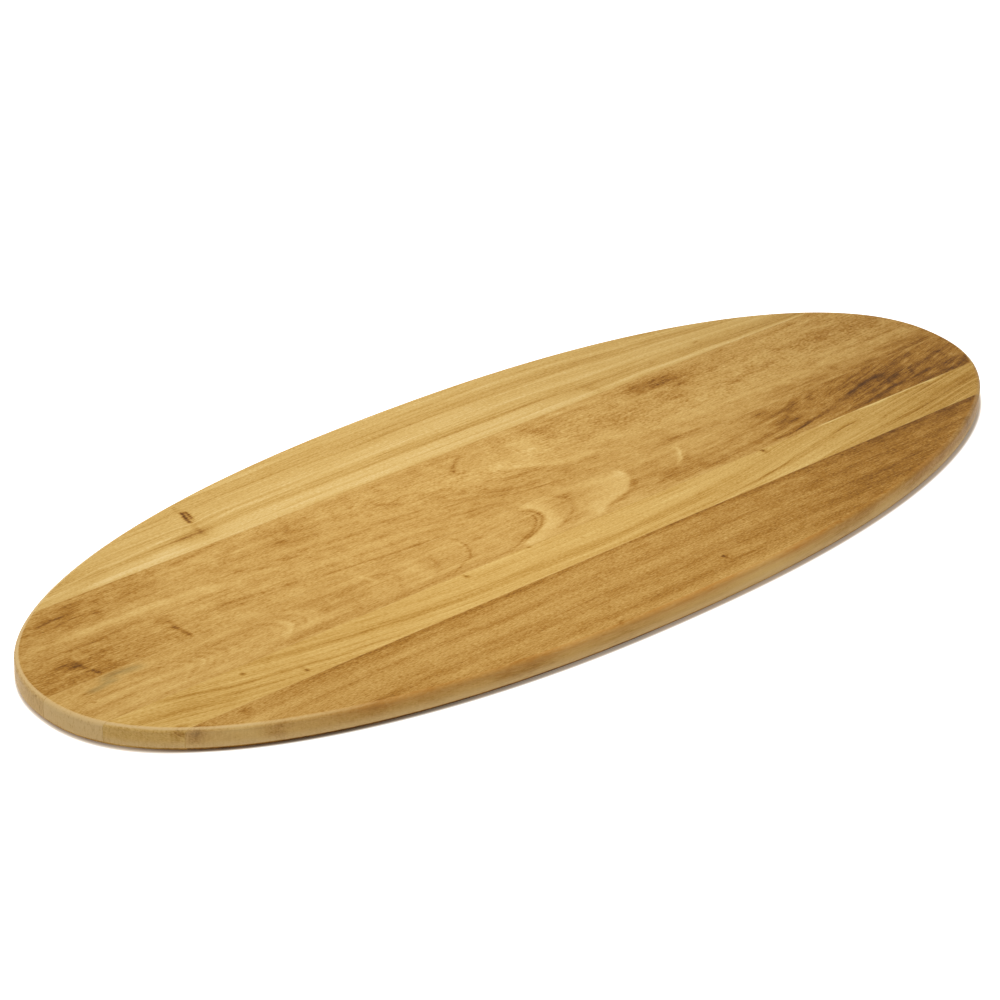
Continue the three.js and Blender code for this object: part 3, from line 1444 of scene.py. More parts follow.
BACK_FIGURE = Figure(
    base=0.29,
    seed=11,
    flows=(Arch(20, 0.00013, 0.00045, 58, 90), KnotFlow(-151, 92, 7, 9)),
    bands=(
        Band(72.5, 3.6, -0.17, end=70),
        Band(66.5, 2.8, -0.12, end=90),
        Band(80, 4, 0.06, -110, 120),
        Band(69.4, 0.7, 0.07, end=60),
        Band(77.5, 2.0, 0.08),
        Band(81.8, 0.6, 0.10, start=-150, end=0),
        Band(83.2, 0.7, -0.09, end=60),
        Band(86.5, 2.4, -0.06, start=-90),
        Band(89.3, 0.9, -0.09, end=60),
        Band(92.2, 1.1, -0.07, end=60),
        Band(95.5, 0.8, -0.07),
        Band(98.0, 1.5, 0.09, start=-60),
        Band(102, 3.0, 0.07),
        Band(106.5, 1.2, -0.08, start=30),
        Band(109.5, 0.9, 0.06),
        Band(112, 1.8, -0.06),
        Band(71.5, 5, 0.06, start=110),
    ),
    streaks=(
        Streak(((-255, 73), (-230, 75), (-200, 77.5), (-175, 79.5), (-155, 79.5)), 0.8, -0.2, 0.2),
        Streak(((-240, 64.5), (-200, 66), (-158, 66.5)), 2.4, -0.15),
        Streak(((-146, 81.5), (-120, 83), (-100, 83.5)), 1.0, -0.14),
        Streak(((-245, 67), (-230, 69.5), (-195, 72), (-165, 73.5)), 2.2, 0.08),
        Streak(((110, 67.5), (150, 66.5), (200, 64.6), (262, 63.2)), 1.6, -0.16, 0.1),
        Streak(((99, 74), (102.5, 68), (108, 63.5)), 2.6, 0.12),
        Streak(((-150.8, 98), (-151.6, 92), (-152.6, 84.5)), 1.0, 0.6, 0.18),
        Streak(((-148.8, 97.5), (-148.6, 92), (-149.4, 86.5)), 0.8, 0.5, 0.2),
        Streak(((-150, 105), (-151, 98)), 1.3, 0.12, 0.4),
        Streak(((-152.5, 86), (-154, 77), (-153.5, 67)), 1.7, 0.15, 0.4),
        Streak(((-149, 88.5), (-146, 89.5), (-142, 91)), 0.7, 0.10),
        Streak(((-143, 97.6), (-134, 98.2), (-126, 98.2)), 0.6, 0.12),
        Streak(((4, 99), (5, 84), (5, 66)), 0.7, 0.07),
    ),
    spots=(
        Spot(-150.6, 91.5, 2.8, 6.5, 0.2, -6),
        Spot(-156, 74, 10, 4.5, 0.2),
        Spot(-166, 74, 8, 3.5, 0.1),
        Spot(235, 70, 50, 7, 0.08),
        Spot(-250, 75, 50, 20, 0.07),
        Spot(185, 75.3, 2.2, 0.8, 0.30),
        Spot(149, 72, 1.8, 1, 0.15),
    ),
)

WIDE_FIGURE = Figure(
    base=0.375,
    seed=21,
    bare_end=0.65,
    flows=(
        Bend(-90, 0.16, 30, middle=14, reach=30),
        Bend(40, -0.16, 30, middle=14, reach=30),
        Bend(-150, -0.06, 30, leftwards=True, middle=20, reach=40),
    ),
    streaks=(
        Streak(((-274, 49.6), (-258, 50.6), (-241, 51.6)), 0.7, 0.22, 0.25),
        Streak(((-270, 52.4), (-252, 52.8), (-238, 52)), 0.6, 0.14),
        Streak(((-272, 47.6), (-255, 48), (-244, 48.6)), 0.6, 0.13),
        Streak(((-266, 45.5), (-250, 46.5), (-240, 46)), 0.6, 0.13),
        Streak(((-270, 43), (-252, 43.6), (-238, 44)), 0.6, 0.1),
        Streak(((-262, 56), (-230, 57.5), (-200, 59.5)), 2.2, 0.10),
        Streak(((-216, 55), (-205, 55.7), (-192, 56.5)), 1.0, 0.18, 0.25),
        Streak(((-192, 57), (-170, 59.5), (-150, 61)), 1.2, 0.12),
        Streak(((-226, 48.5), (-213, 49.5)), 1.4, 0.10),
        Streak(((-212, 42.6), (-203, 42.2)), 0.6, 0.14),
        Streak(((-192, 42.8), (-160, 43), (-140, 41.5)), 0.7, 0.08),
        Streak(((-285, 41), (-265, 40.5), (-240, 41.5)), 0.8, 0.08),
        Streak(((-281, 17), (-276, 14), (-270.5, 9)), 2.8, 0.12),
        Streak(((-271.5, 14), (-269.8, 8), (-268, 3), (-266.5, -2.4)), 1.2, 0.2, 0.3),
        Streak(((-269, 4), (-267.4, 0.5), (-265.4, -2.4)), 1.0, 0.13, 0.4),
        Streak(((-272, 22), (-271, 15), (-270, 8)), 1.5, 0.10),
        Streak(((-217.8, 13.4), (-216.2, 9), (-215.2, 4), (-214.8, -2.4)), 1.4, 0.25, 0.25),
        Streak(((-223, 13.5), (-219, 12.5), (-216.4, 9.5)), 1.1, 0.12),
        Streak(((-217, 20.5), (-216, 15), (-216, 10)), 1.2, 0.14),
        Streak(((-226, 20.4), (-218, 21), (-208, 21.4)), 0.8, 0.11),
        Streak(((-223, 17.5), (-214, 18)), 0.7, 0.10),
        Streak(((-292, 24), (-262, 23.6), (-240, 24.8), (-222, 24.6)), 0.9, 0.12),
        Streak(((-208, 24), (-185, 24), (-165, 22)), 0.7, 0.10),
        Streak(((-200, 20.5), (-175, 20), (-150, 20.5)), 0.8, 0.07),
        Streak(((-262, 14.5), (-240, 15), (-222, 13.5)), 1.4, 0.07),
        Streak(((-210, 10), (-185, 12.3), (-162, 9.8), (-140, 6.5), (-125, 5.2)), 0.8, 0.1, 0.25),
        Streak(((-140, 6.6), (-110, 2.2), (-87, 0.4), (-70, -1.2), (-50, -2.2)), 0.8, 0.19, 0.2),
        Streak(((-178, 41), (-154, 29.5), (-127, 20.8)), 1.2, 0.08),
        Streak(((-150, 33), (-120, 24), (-95, 20)), 1.0, 0.08),
        Streak(((-123, 47), (-119, 51), (-113, 57)), 1.6, 0.10),
        Streak(((-132, 44), (-127, 49), (-122, 56)), 1.6, 0.07),
        Streak(((-66, 50), (-68.3, 45), (-65, 40), (-55.5, 35.2)), 1.2, 0.13),
        Streak(((-1, 57), (-8, 53), (-13, 48.8), (-16, 43), (-15, 39)), 1.5, 0.24, 0.25),
        Streak(((-62, 57), (-58, 52), (-58, 44)), 2.0, 0.06),
        Streak(((-45, 29), (-28, 24.6), (-10, 14.5), (2, 11.7), (20, 6)), 0.9, 0.06),
        Streak(((-14, 14.8), (-6, 13), (3, 11.6)), 0.7, 0.08),
        Streak(((-30, 17), (-10, 10), (15, 4.5), (30, 2)), 0.9, 0.08),
        Streak(((0, 7.4), (12, 5.8), (24, 5)), 0.6, 0.10),
        Streak(((-50, 12), (-25, 7), (0, 1)), 1.0, 0.07),
        Streak(((-60, 32), (-40, 24), (-20, 19)), 1.2, 0.06),
        Streak(((-10, 37.2), (5, 32.4), (16, 26.4), (26.5, 21), (36, 17.8), (50, 16),
                (66, 18)), 5.5, -0.14, 0.18, 1.4),
        Streak(((-8, 34.2), (7, 28.4), (19, 22.8), (32, 18), (46, 14.6)), 1.4, 0.06, 0.25),
        Streak(((58, 17), (100, 14.6), (160, 13), (208, 14), (242, 16.5), (268, 21)), 2.2, -0.09, 0.2),
        Streak(((-285, 33), (-240, 33.5), (-195, 31.5), (-150, 27)), 2.0, -0.09),
        Streak(((-200, 46), (-180, 51), (-160, 54)), 2.5, -0.07),
        Streak(((236, 33), (246, 36.5), (256, 39)), 1.4, 0.10),
        Streak(((150, 46), (175, 47), (195, 49)), 0.9, 0.08),
        Streak(((176, 33.5), (190, 33), (206, 32)), 1.0, 0.08),
        Streak(((225, -1), (260, -1.2), (298, -0.5)), 1.2, 0.10, 0.2),
        Streak(((240, 54), (262, 50), (285, 40)), 1.4, 0.08),
    ),
    spots=(
        Spot(-237, 44.4, 2.4, 2.8, 0.17),
        Spot(-268, 5, 36, 12, 0.11),
        Spot(-255, 50, 34, 11, 0.09),
        Spot(-220, 57, 40, 5, 0.06),
        Spot(-127, 42.3, 6, 2.2, 0.15),
        Spot(-82, 49, 3, 1.4, 0.18),
        Spot(-73.6, 26, 7, 2.2, 0.13),
        Spot(-75, 16, 16, 4, 0.04),
        Spot(31, 45, 9, 8, -0.15),
        Spot(8, 44, 12, 7, -0.05),
        Spot(28, 32, 12, 6, -0.07),
        Spot(47, 51, 7, 5, 0.13),
        Spot(51, 42, 5, 2.6, 0.14),
        Spot(70, 56, 14, 3, 0.06),
        Spot(132, 52.5, 16, 7.5, 0.25),
        Spot(144, 44.6, 6, 1.7, 0.16),
        Spot(121, 57, 8, 4.5, 0.1),
        Spot(143, 56, 7, 5, 0.1),
        Spot(130, 36, 9, 6, 0.05),
        Spot(-118, 48, 20, 9, 0.06),
        Spot(170, 28, 4, 2.2, 0.15),
        Spot(199, 31, 9, 2.2, 0.09),
        Spot(213, 42.5, 2.6, 3.5, 0.12),
        Spot(223, 6.5, 2.5, 3.2, 0.13),
        Spot(254, 25.3, 2.0, 0.6, 0.34),
        Spot(98, 1, 16, 3, 0.15),
        Spot(110, -1, 24, 2, 0.06),
        Spot(284, 3, 22, 4.5, 0.14),
        Spot(214, 0, 70, 6, 0.11),
        # Broad darkening towards both ends: partly the wood's own darker tone, partly painted shade where the
        # light falls off
        Spot(-285, 25, 50, 50, 0.11),
        Spot(285, 25, 60, 50, 0.08),
    ),
)

FIGURED_FIGURE = Figure(
    base=0.375,
    seed=31,
    bare_end=1.0,
    flows=(Bend(150, -0.20, 20),),
    streaks=(
        Streak(((-285, -22), (-262, -20), (-240, -21)), 1.4, -0.08),
        Streak(((-280, -28), (-255, -27), (-236, -28)), 1.0, -0.07),
        Streak(((-282, -24.4), (-260, -23.4), (-244, -23.6)), 0.6, 0.10),
        Streak(((-275, -30.6), (-250, -30.2)), 0.6, 0.07),
        Streak(((-278, -14.5), (-250, -14)), 1.2, -0.07),
        Streak(((-262, -11.6), (-240, -13.6)), 0.7, 0.07),
        Streak(((-175, -7), (-157.5, -17), (-159, -24), (-172, -33)), 0.9, -0.11, 0.3, 3.0),
        Streak(((-182, -9), (-172, -17), (-173.5, -24), (-184, -32)), 1.0, -0.12, 0.3, 4.0),
        Streak(((-123, -4), (-118, -10), (-114.5, -18)), 1.7, -0.14, 0.35),
        Streak(((-128, -6), (-107, -14), (-107, -24), (-120, -34)), 0.9, 0.07),
        Streak(((-84, -8), (-81.2, -15), (-82.4, -22.5), (-88, -28.5), (-98, -33.5)), 1.8, 0.09),
        Streak(((-63, -2.5), (-59.8, -8), (-59.5, -14), (-63, -24), (-70.5, -28),
                (-82, -32.5)), 0.75, 0.15, 0.2),
        Streak(((-25, -2.5), (-19, -7.2), (-14.4, -13), (-15, -18.6), (-20.6, -23.1), (-30, -27.7),
                (-46, -32.8), (-60, -34.8)), 0.65, 0.19, 0.3),
        Streak(((-20, -3.5), (-12.6, -9.4), (-10.1, -14), (-11, -18.6), (-16, -23.1), (-25.2, -27.7),
                (-40, -33.4)), 0.65, 0.2, 0.3),
        Streak(((-14, -2.5), (-8.6, -9), (-7, -14), (-8.2, -19), (-13.4, -24), (-23, -28.8),
                (-38, -34.4)), 6.5, -0.19, 0.10, 0.9),
        Streak(((3, -2.5), (10, -9), (11.4, -14), (8.4, -18.8), (3, -24), (-5.4, -28.6),
                (-17, -33.4)), 2.0, 0.11, 0.15, 0.8),
        Streak(((50.5, -2.5), (51.8, -10.5), (47.8, -18.6), (38.6, -24), (26.5, -28),
                (10, -33.4)), 0.9, -0.21, 0.12, 13.0),
        Streak(((55, -3), (55.5, -11), (51, -20), (41, -26), (29, -30), (14, -35)), 2.4, 0.07, 0.2),
        Streak(((91.5, -3), (91.8, -9.5), (87, -15.5), (78, -21)), 0.8, -0.22, 0.25, 1.6),
        Streak(((96, -3), (96, -10), (91, -17), (82, -23)), 2.0, 0.07),
        Streak(((130, -33.4), (155, -32.6), (175, -28.5), (190, -25.2), (207, -21), (220, -16.9),
                (233, -14.4), (246, -12.6)), 1.3, 0.15, 0.15),
        Streak(((152, -33), (160, -31.6), (172, -29)), 1.1, 0.15, 0.3),
        Streak(((244, -10), (250, -9), (258, -7.6), (275, -5)), 1.5, 0.12, 0.25),
        Streak(((190, -34), (217, -32.4), (243, -28.4), (267, -26.8), (294, -26)), 1.3, 0.15, 0.2),
        Streak(((148, -22), (158, -20), (167, -14.3), (178, -7), (186, -3)), 2.2, 0.12, 0.3),
        Streak(((182, -11.5), (188, -8.6), (197, -4.4)), 1.5, 0.17, 0.3),
        Streak(((120, -31), (140, -27), (160, -24), (172, -18)), 1.4, 0.12),
        Streak(((186, -33), (225, -24), (262, -18), (292, -14)), 1.3, 0.14),
        Streak(((256, -15), (256, -20), (252, -26)), 1.2, 0.16),
        Streak(((237, -16), (236, -23), (235, -31)), 1.5, 0.12),
        Streak(((282.5, -12), (283, -18), (281, -24)), 1.2, 0.12),
        Streak(((240, -33.8), (292, -33.8)), 2.0, 0.15, 0.25),
        Streak(((200, -14), (222, -7), (240, -4)), 1.4, 0.10),
        Streak(((205, -28), (225, -20), (250, -14)), 1.2, 0.08),
    ),
    spots=(
        Spot(-166, -32, 13, 2.2, 0.13),
        Spot(-140, -22, 13, 12, 0.06),
        Spot(-178, -22, 4, 6, -0.06),
        Spot(-93, -17, 5, 9, -0.12),
        Spot(-69, -11, 5, 6, -0.08),
        Spot(-250, -20, 28, 12, -0.05),
        Spot(-283.4, -18.6, 0.9, 0.9, 0.28),
        Spot(-281, -10.6, 5, 1.2, 0.16),
        Spot(-264, -5, 4, 1.4, 0.12),
        Spot(34, -9, 10, 7, -0.1),
        Spot(14, -7, 5, 4, 0.05),
        Spot(18, -22, 6, 6, 0.05),
        Spot(-50, -14, 3, 1.6, 0.09),
        Spot(76, -25, 24, 8, 0.11),
        Spot(106, -30, 24, 5, 0.12),
        Spot(70, -12, 10, 6, 0.05),
        Spot(120, -14, 20, 10, 0.05),
        Spot(152, -6.5, 8, 3.2, 0.18),
        Spot(156, -21, 8, 2, 0.12),
        Spot(233, -14.6, 7, 1.4, 0.08),
        Spot(176, -5, 34, 4, -0.08),
        # Broad darkening towards the right end: partly the wood's own darker tone, partly painted shade where
        # the light falls off
        Spot(238, -20, 72, 30, 0.33),
        Spot(282, -27, 26, 10, 0.16),
        Spot(158, -18, 25, 20, 0.09),
        Spot(291, -8, 14, 8, 0.10),
    ),
    rings=(
        Rings(-240, -197, -20.5, 3.0, 6.2, 0.065, 8.5),
        Rings(-190, -150, -20, 4.4, 6.6, 0.05, 10.0),
    ),
    stains=(
        Streak(((-284, -10.4), (-276, -10.8), (-268, -9.4), (-260, -10)), 1.8, 0.42),
        Streak(((-275, -7.6), (-264, -5), (-256, -6), (-244, -7.6)), 2.6, 0.45),
    ),
)

PALE_FIGURE = Figure(
    base=0.30,
    seed=41,
    bare_end=0.2,
    flows=(Bend(-105, -0.20, 35, leftwards=True), Bend(70, -0.135, 30), KnotFlow(125.4, -36.9, 8, 6)),
    bands=(
        Band(-55.5, 1.2, 0.10, -140, 80),
        Band(-51.5, 1.5, -0.08, -140, 60),
        Band(-53.4, 0.6, 0.08, -100, 60),
        Band(-44, 2.0, 0.08, -120, 10),
        Band(-46.4, 0.6, -0.08, -60, 110),
        Band(-40, 1.8, 0.07, -40, 70),
        Band(-48.5, 1.2, -0.06, -30, 120),
        Band(-58, 0.6, 0.07, -130, 40),
        Band(-60, 1.2, -0.06, -130, 40),
        Band(-62, 1.0, 0.07, -40, 200),
    ),
    streaks=(
        Streak(((-270, -35.2), (-250, -40.2), (-230, -46.4), (-216.7, -49.3), (-191.7, -53),
                (-158, -58), (-125, -61)), 1.0, 0.22, 0.15),
        Streak(((-250, -36), (-219, -43.2), (-185, -50), (-127, -57.6)), 0.9, 0.07),
        Streak(((-207, -36), (-167, -45.2), (-133, -49.5), (-100, -54)), 1.0, 0.11),
        Streak(((-160, -36), (-130, -41.5), (-100, -44.5)), 1.0, 0.07),
        Streak(((-246, -47), (-215, -55), (-180, -61)), 1.0, 0.07),
        Streak(((78, -60), (100, -57.6), (133, -52.7), (155, -49.3), (180, -45.2),
                (210, -42.4)), 0.75, 0.18, 0.2),
        Streak(((80, -58), (105, -55.2), (138, -50.4), (165, -46)), 0.7, -0.08, 0.2),
        Streak(((120, -61), (180, -53.4), (235, -46.5)), 0.8, 0.10),
        Streak(((60, -57.5), (100, -52), (150, -44.5)), 0.8, 0.08),
        Streak(((185, -57.6), (217, -55.4), (252, -51.6)), 0.7, 0.11),
        Streak(((185, -56.2), (217, -54), (250, -50.4)), 0.7, -0.10),
        Streak(((0, -52), (48, -47.6), (90, -43)), 1.0, -0.07),
        Streak(((164, -36.1), (185, -36.1), (215, -36.2), (264, -36.3)), 0.7, -0.5, 0.12),
    ),
    spots=(
        Spot(-216.3, -41, 0.9, 0.9, 0.55),
        Spot(-191.2, -57, 0.9, 1.0, 0.48),
        Spot(-191, -55, 0.7, 2.2, 0.15),
        Spot(-78.7, -38.4, 1.2, 1.2, 0.42),
        Spot(-36, -36.2, 0.9, 0.8, 0.36),
        Spot(-8.8, -45.5, 0.9, 0.8, 0.34),
        Spot(125.4, -37.3, 1.2, 1.6, 0.55, 20),
        Spot(126.5, -39, 2.5, 2.5, 0.10),
        Spot(68, -49.7, 2.2, 1.6, 0.10),
        Spot(244, -38.5, 9, 1.8, 0.12),
        Spot(-250, -50, 30, 14, 0.08),
        Spot(-267, -61, 4, 2.5, 0.4),
        # Broad darkening towards the right end: partly the wood's own darker tone, partly painted shade where
        # the light falls off
        Spot(260, -48, 60, 30, 0.16),
    ),
)

FRONT_FIGURE = Figure(
    base=0.45,
    seed=51,
    flows=(KnotFlow(33, -103, 9, 6),),
    bands=(
        Band(-63.8, 2.6, 0.15, start=-200),
        Band(-70, 1.2, 0.03),
        Band(-75, 2.0, -0.04),
        Band(-79, 1.6, 0.04),
        Band(-84, 1.6, -0.03),
        Band(-88, 2.4, -0.03),
        Band(-93, 1.3, 0.04, -60, 240),
        Band(-98, 2.3, 0.04),
        Band(-104, 2, -0.02),
        Band(-110, 2.4, 0.06),
    ),
    streaks=(
        Streak(((33, -101), (33.4, -105.5)), 0.8, 0.34),
        Streak(((-126, -111), (-100, -114), (-78, -117)), 1.3, 0.12),
        Streak(((30, -107), (60, -109)), 1.0, 0.10),
        Streak(((-150, -90), (-90, -93), (-30, -92)), 0.8, 0.06),
        Streak(((100, -86), (160, -90), (220, -86)), 2.2, 0.06),
    ),
    spots=(
        Spot(-235, -68, 3, 4, 0.18),
        Spot(-48.5, -117, 1.8, 1.2, 0.22),
        Spot(33, -104, 3, 5, 0.08),
        Spot(155, -88, 40, 14, 0.05),
        # Broad darkening towards the right end: partly the wood's own darker tone, partly painted shade where
        # the light falls off
        Spot(200, -90, 90, 45, 0.04),
        Spot(275, -90, 180, 80, 0.17),
        Spot(-240, -72, 22, 12, -0.06),
        Spot(-262, -66, 6, 3, 0.4),
        Spot(-231, -86, 7, 3, 0.45),
        Spot(-180, -100, 14, 4, 0.15),
        Spot(-156, -105, 9, 3, 0.15),
        Spot(-118, -117.5, 16, 4, 0.32),
        Spot(-85, -117, 20, 5, -0.08),
        Spot(45, -119.5, 50, 6, -0.16),
        Spot(-12, -120, 16, 5, -0.1),
        Spot(200, -66, 60, 4, 0.05),
    ),
)


def staves() -> list[Stave]:
    """The board's nine pieces from the back edge to the front.

    Returns:
        The staves with the glue between them, not built yet.
    """
    long_grain = {"reach": 3.0, "fibre": 0.5, "mottle": 0.10}
    golden = WoodFinish("golden_wood", BACK_FIGURE.base, colours=GOLDEN, **long_grain)
    brown = WoodFinish("brown_wood", WIDE_FIGURE.base, reach=0.7, fleck=0.7, streak=0.26, mottle=0.3)
    figured = WoodFinish("figured_wood", FIGURED_FIGURE.base, reach=0.7, fibre=0.36, mottle=0.24)
    pale = WoodFinish("pale_wood", PALE_FIGURE.base, colours=STRAW, **long_grain)
    dark = WoodFinish(
        "dark_wood", FRONT_FIGURE.base, reach=0.8, fibre=0.36, fleck=0.72, streak=0.16, broad=0.12, pore=0.2
    )
    glue = GlueFinish("dried_glue")
    return [
        Stave("back_stave", "golden_wood", golden, BACK_FIGURE),
        Stave("glue_line_1", "dried_glue", glue),
        Stave("wide_stave", "brown_wood", brown, WIDE_FIGURE),
        Stave("glue_line_2", "dried_glue", glue),
        Stave("figured_stave", "figured_wood", figured, FIGURED_FIGURE),
        Stave("glue_line_3", "dried_glue", glue),
        Stave("pale_stave", "pale_wood", pale, PALE_FIGURE),
        Stave("glue_line_4", "dried_glue", glue),
        Stave("front_stave", "dark_wood", dark, FRONT_FIGURE),
    ]


@dataclass(frozen=True)
class View:
    """The photograph's viewpoint.

    Attributes:
        azimuth: Turn about the vertical, in degrees; 0 looks along +Y.
        elevation: Height angle, in degrees.
        roll: Turn about the line of sight, in degrees.
        distance: Distance to the target, in metres.
        target: Point on the table that lies in the middle of the picture.
        lens: Focal length, in mm, on a sensor of the given width.
        sensor: Width of the sensor, in mm.
    """

    azimuth: float = -41.81
    elevation: float = 29.487
    roll: float = 1.8365
    distance: float = 1.7228
    target: tuple[float, float, float] = (-0.00217, 0.02395, 0.0)
    lens: float = 121.16
    sensor: float = 36.0

    def add(self) -> None:
        """Puts the camera there and makes it the scene's camera."""
        azimuth, elevation, roll = map(math.radians, (self.azimuth, self.elevation, self.roll))
        level = math.cos(elevation)
        back = Vector((math.sin(azimuth) * level, -math.cos(azimuth) * level, math.sin(elevation)))
        right = Vector((math.cos(azimuth), math.sin(azimuth), 0.0))
        up = back.cross(right)
        across = right * math.cos(roll) + up * math.sin(roll)
        turn = Matrix((across, back.cross(across), back)).transposed()
        data = bpy.data.cameras.new("camera")
        data.lens = self.lens
        data.sensor_width = self.sensor
        camera = bpy.data.objects.new("camera", data)
        camera.matrix_world = Matrix.Translation(Vector(self.target) + back * self.distance) @ turn.to_4x4()
        bpy.context.scene.collection.objects.link(camera)
        bpy.context.scene.camera = camera


@dataclass(frozen=True)
class Studio:
    """A white table under one small soft light, in even light from all round.

    Attributes:
        key_place: Middle of the light, in metres.
        key_aim: Point that it is aimed at, in metres.
        key_width: Its width, in metres.
        key_spread: Angle of its beam, in degrees.
        key_power: Its power, in watts.
        fill: Brightness of the even light.
        shadow: Where the shadow of the board's rim falls, against the rim, in mm.
        white_over: Distances past the shadow's outline, in mm, between which the table becomes white.
    """

    key_place: tuple[float, float, float] = (-0.22, 0.17, 1.2)
    key_aim: tuple[float, float, float] = (-0.04, 0.0, 0.0)
    key_width: float = 0.12
    key_spread: float = 80.0
    key_power: float = 1.53
    fill: float = 0.42
    shadow: Point = (0.4, -0.8)
    white_over: tuple[float, float] = (-1.2, 0.7)

    # Distances of the table's rings past the shadow's outline, in mm, and how many of its points they skip
    RINGS = (-20.0, -4.0, -1.2, -0.4, -0.1, 0.2, 0.5, 0.8, 1.1, 1.4, 3.0, 30.0, 100.0, 400.0, 4000.0)
    RING_SKIP = 16
    # Gap that keeps the table and the underside apart
    CLEARANCE = 0.05 * MM
    # The left tip and the right, by x in mm: how much wider the shadow is there, and how much painted light
    # pales it
    LEFT_TIP = -255.0
    LEFT_SOFT = 35.0
    LEFT_WIDER = 2.3
    RIGHT_FROM = -210.0
    RIGHT_OVER = 150.0
    RIGHT_WIDER = 0.75
    PAINTED_LIFT = 0.15
    # Colours of the table: painted bounce light from the wood, as a warm tint in the shadow and in its glow
    # there, and clean white between two shades, which clouds share out
    PAINTED_BOUNCE = (0.80, 0.66, 0.47)
    PAINTED_BOUNCE_GLOW = (1.0, 0.88, 0.72)
    WHITE = (1.0, 1.0, 1.0)
    CLEAN = ((0.93, 0.93, 0.93), (0.95, 0.95, 0.95))
    CLOUDS = Texture((40.0, 40.0, 40.0), 2.0)

    def ring(self, plan: OvalPlan, distance: float) -> np.ndarray:
        """The outline of the board's shadow, moved outwards along its normals.

        One quarter of the oval is mirrored into the other three.

        Args:
            plan: The board's plan.
            distance: How far it is moved, in mm.

        Returns:
            The x and y of the points round the ring, in metres.
        """
        x, y = (axis[::self.RING_SKIP] for axis in plan.inset_quarter(-distance * MM))
        half_x = np.concatenate([x, [0.0], -x[::-1]])
        half_y = np.concatenate([y, y[-1:], y[::-1]])
        ring_x = np.append(half_x, half_x[-2:0:-1])
        ring_y = np.append(half_y, -half_y[-2:0:-1])
        return np.stack([ring_x, ring_y], axis=-1) + np.array(self.shadow) * MM

    def whiteness(self, away: np.ndarray, along: np.ndarray) -> np.ndarray:
        """How white the table is: it rises over the shadow's edge, wider at the left tip, and painted light
        lifts the shadow at the left tip and along the right.

        Args:
            away: Distances past the shadow's outline, in mm.
            along: Places along the board, in mm.

        Returns:
            The share of white at each place.
        """
        left_tip = smoothstep((self.LEFT_TIP - along) / self.LEFT_SOFT)
        right = smoothstep((along - self.RIGHT_FROM) / self.RIGHT_OVER)
        painted_lift = self.PAINTED_LIFT * (right + left_tip)
        start = self.white_over[0] + self.RIGHT_WIDER * right
        end = self.white_over[1] + self.RIGHT_WIDER * right + self.LEFT_WIDER * left_tip
        return painted_lift + (1 - painted_lift) * smoothstep((away - start) / (end - start))

    def add_floor(self, plan: OvalPlan) -> None:
        """A table of rings round the board, which grows white a little way from it.

        Args:
            plan: The board's plan.
        """
        around = np.stack([self.ring(plan, distance) for distance in self.RINGS])
        height = np.full((*around.shape[:2], 1), -self.CLEARANCE)
        points = np.concatenate([around, height], axis=-1)
        numbers = np.arange(around[..., 0].size).reshape(around.shape[:2])
        faces = grid_faces(np.concatenate([numbers, numbers[:, :1]], axis=1)) + [numbers[0].tolist()]
        floor = Surface(points.reshape(-1, 3), faces).to_object("table")
        away = np.repeat(np.array(self.RINGS), around.shape[1])
        carry(floor, Attribute.WHITE, self.whiteness(away, around[..., 0].ravel() / MM))
        floor.data.materials.append(self.floor_material())

    def floor_material(self) -> bpy.types.Material:
        """Matt white that also glows for those who look at it where the table is plain white, with painted
        bounce light from the wood as a warm tint in the shadow, and painted light that lifts the shadow a
        little.

        Returns:
            The new material.
        """
        material = bpy.data.materials.new("white_table")
        graph = NodeGraph(material)
        white = graph.attribute(Attribute.WHITE)
        cloud = graph.math("ADD", graph.noise(graph.place(), self.CLOUDS), graph.NOISE_MIDDLE)
        paint = graph.node("ShaderNodeBsdfDiffuse")
        graph.feed(paint.inputs["Color"], graph.mix(white, self.PAINTED_BOUNCE, graph.mix(cloud, *self.CLEAN)))
        glow = graph.node("ShaderNodeEmission")
        graph.feed(glow.inputs["Color"], graph.mix(white, self.PAINTED_BOUNCE_GLOW, self.WHITE))
        graph.feed(glow.inputs["Strength"], graph.math("MULTIPLY", white, graph.looked_at()))
        both = graph.node("ShaderNodeAddShader")
        graph.feed(both.inputs[0], paint.outputs[0])
        graph.feed(both.inputs[1], glow.outputs[0])
        graph.feed(graph.node("ShaderNodeOutputMaterial").inputs["Surface"], both.outputs[0])
        return material

    def add_key(self) -> None:
        """The small soft light, turned to the board."""
        data = bpy.data.lights.new("key", "AREA")
        data.shape = "DISK"
        data.size = self.key_width
        data.spread = math.radians(self.key_spread)
        data.energy = self.key_power
        key = bpy.data.objects.new("key", data)
        beam = Vector(self.key_place) - Vector(self.key_aim)
        key.location = self.key_place
        key.rotation_euler = beam.to_track_quat("Z", "Y").to_euler()
        bpy.context.scene.collection.objects.link(key)

    def add_fill(self) -> None:
        """The even light, which those who look at it see as a white surround."""
        world = bpy.data.worlds.new("surround")
        graph = NodeGraph(world)
        level = graph.node("ShaderNodeMapRange")
        graph.feed(level.inputs["Value"], graph.looked_at())
        level.inputs["To Min"].default_value = self.fill
        level.inputs["To Max"].default_value = 1.0
        background = graph.node("ShaderNodeBackground")
        background.inputs["Color"].default_value = (*self.WHITE, 1.0)
        graph.feed(background.inputs["Strength"], level.outputs["Result"])
        graph.feed(graph.node("ShaderNodeOutputWorld").inputs["Surface"], background.outputs[0])
        bpy.context.scene.world = world

    def build(self, plan: OvalPlan) -> None:
        """Adds the table and the lights, and shows colours as they are.

        Args:
            plan: The board's plan.
        """
        self.add_floor(plan)
        self.add_key()
        self.add_fill()
        bpy.context.scene.view_settings.view_transform = "Standard"


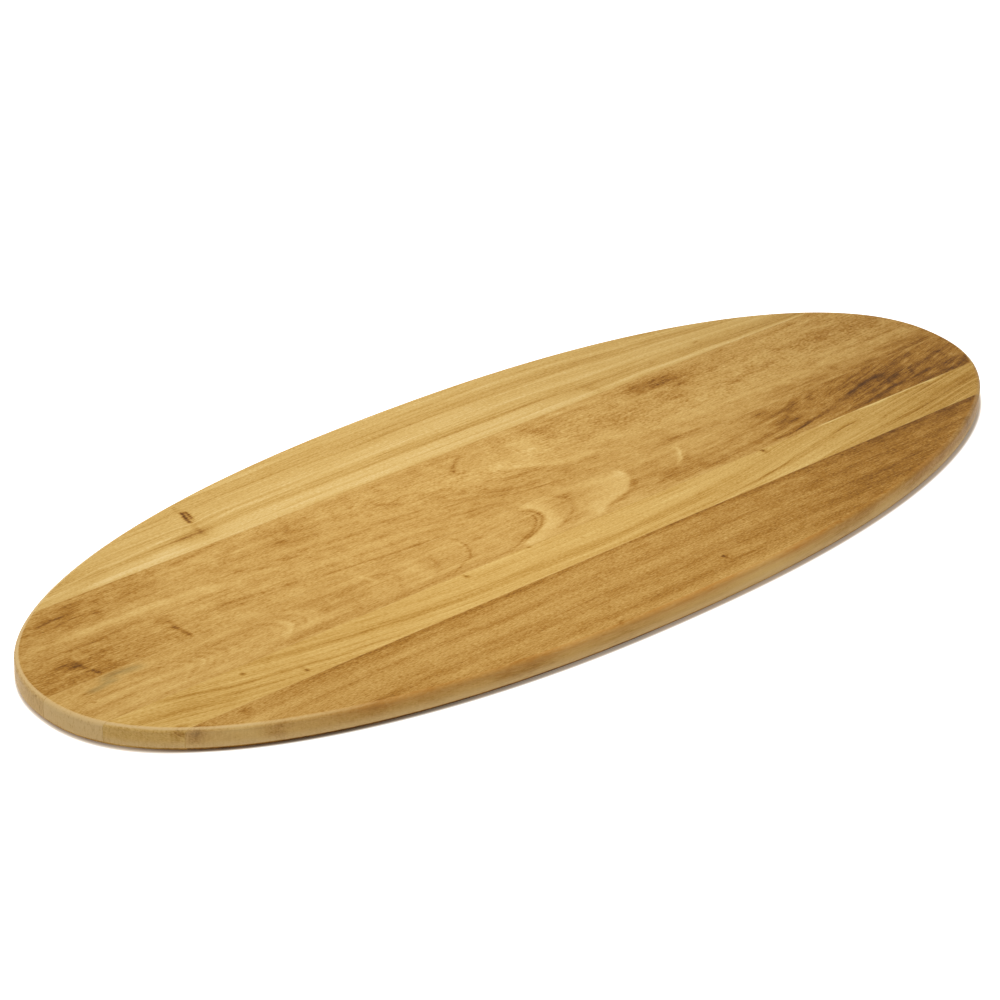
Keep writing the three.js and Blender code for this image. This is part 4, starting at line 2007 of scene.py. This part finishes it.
def main() -> None:
    """Builds the board from the back to the front, then the studio and the camera."""
    logging.basicConfig(level=logging.INFO, format="%(message)s")
    low, high = CAD_BOX
    plan = OvalPlan((high.x - low.x) / 2, (high.y - low.y) / 2, OVAL_EXPONENT)
    shape = PanelShape(plan, RimSection(high.z - low.z, TOP_ROUNDOVER, BOTTOM_ROUNDOVER))
    for stave in staves():
        stave.build(shape)
        stave.dress(shape)
        mesh = stave.piece.data
        LOG.info("%s: %d vertices, %d faces", stave.node, len(mesh.vertices), len(mesh.polygons))
    Studio().build(plan)
    View().add()


if __name__ == "__main__":
    main()
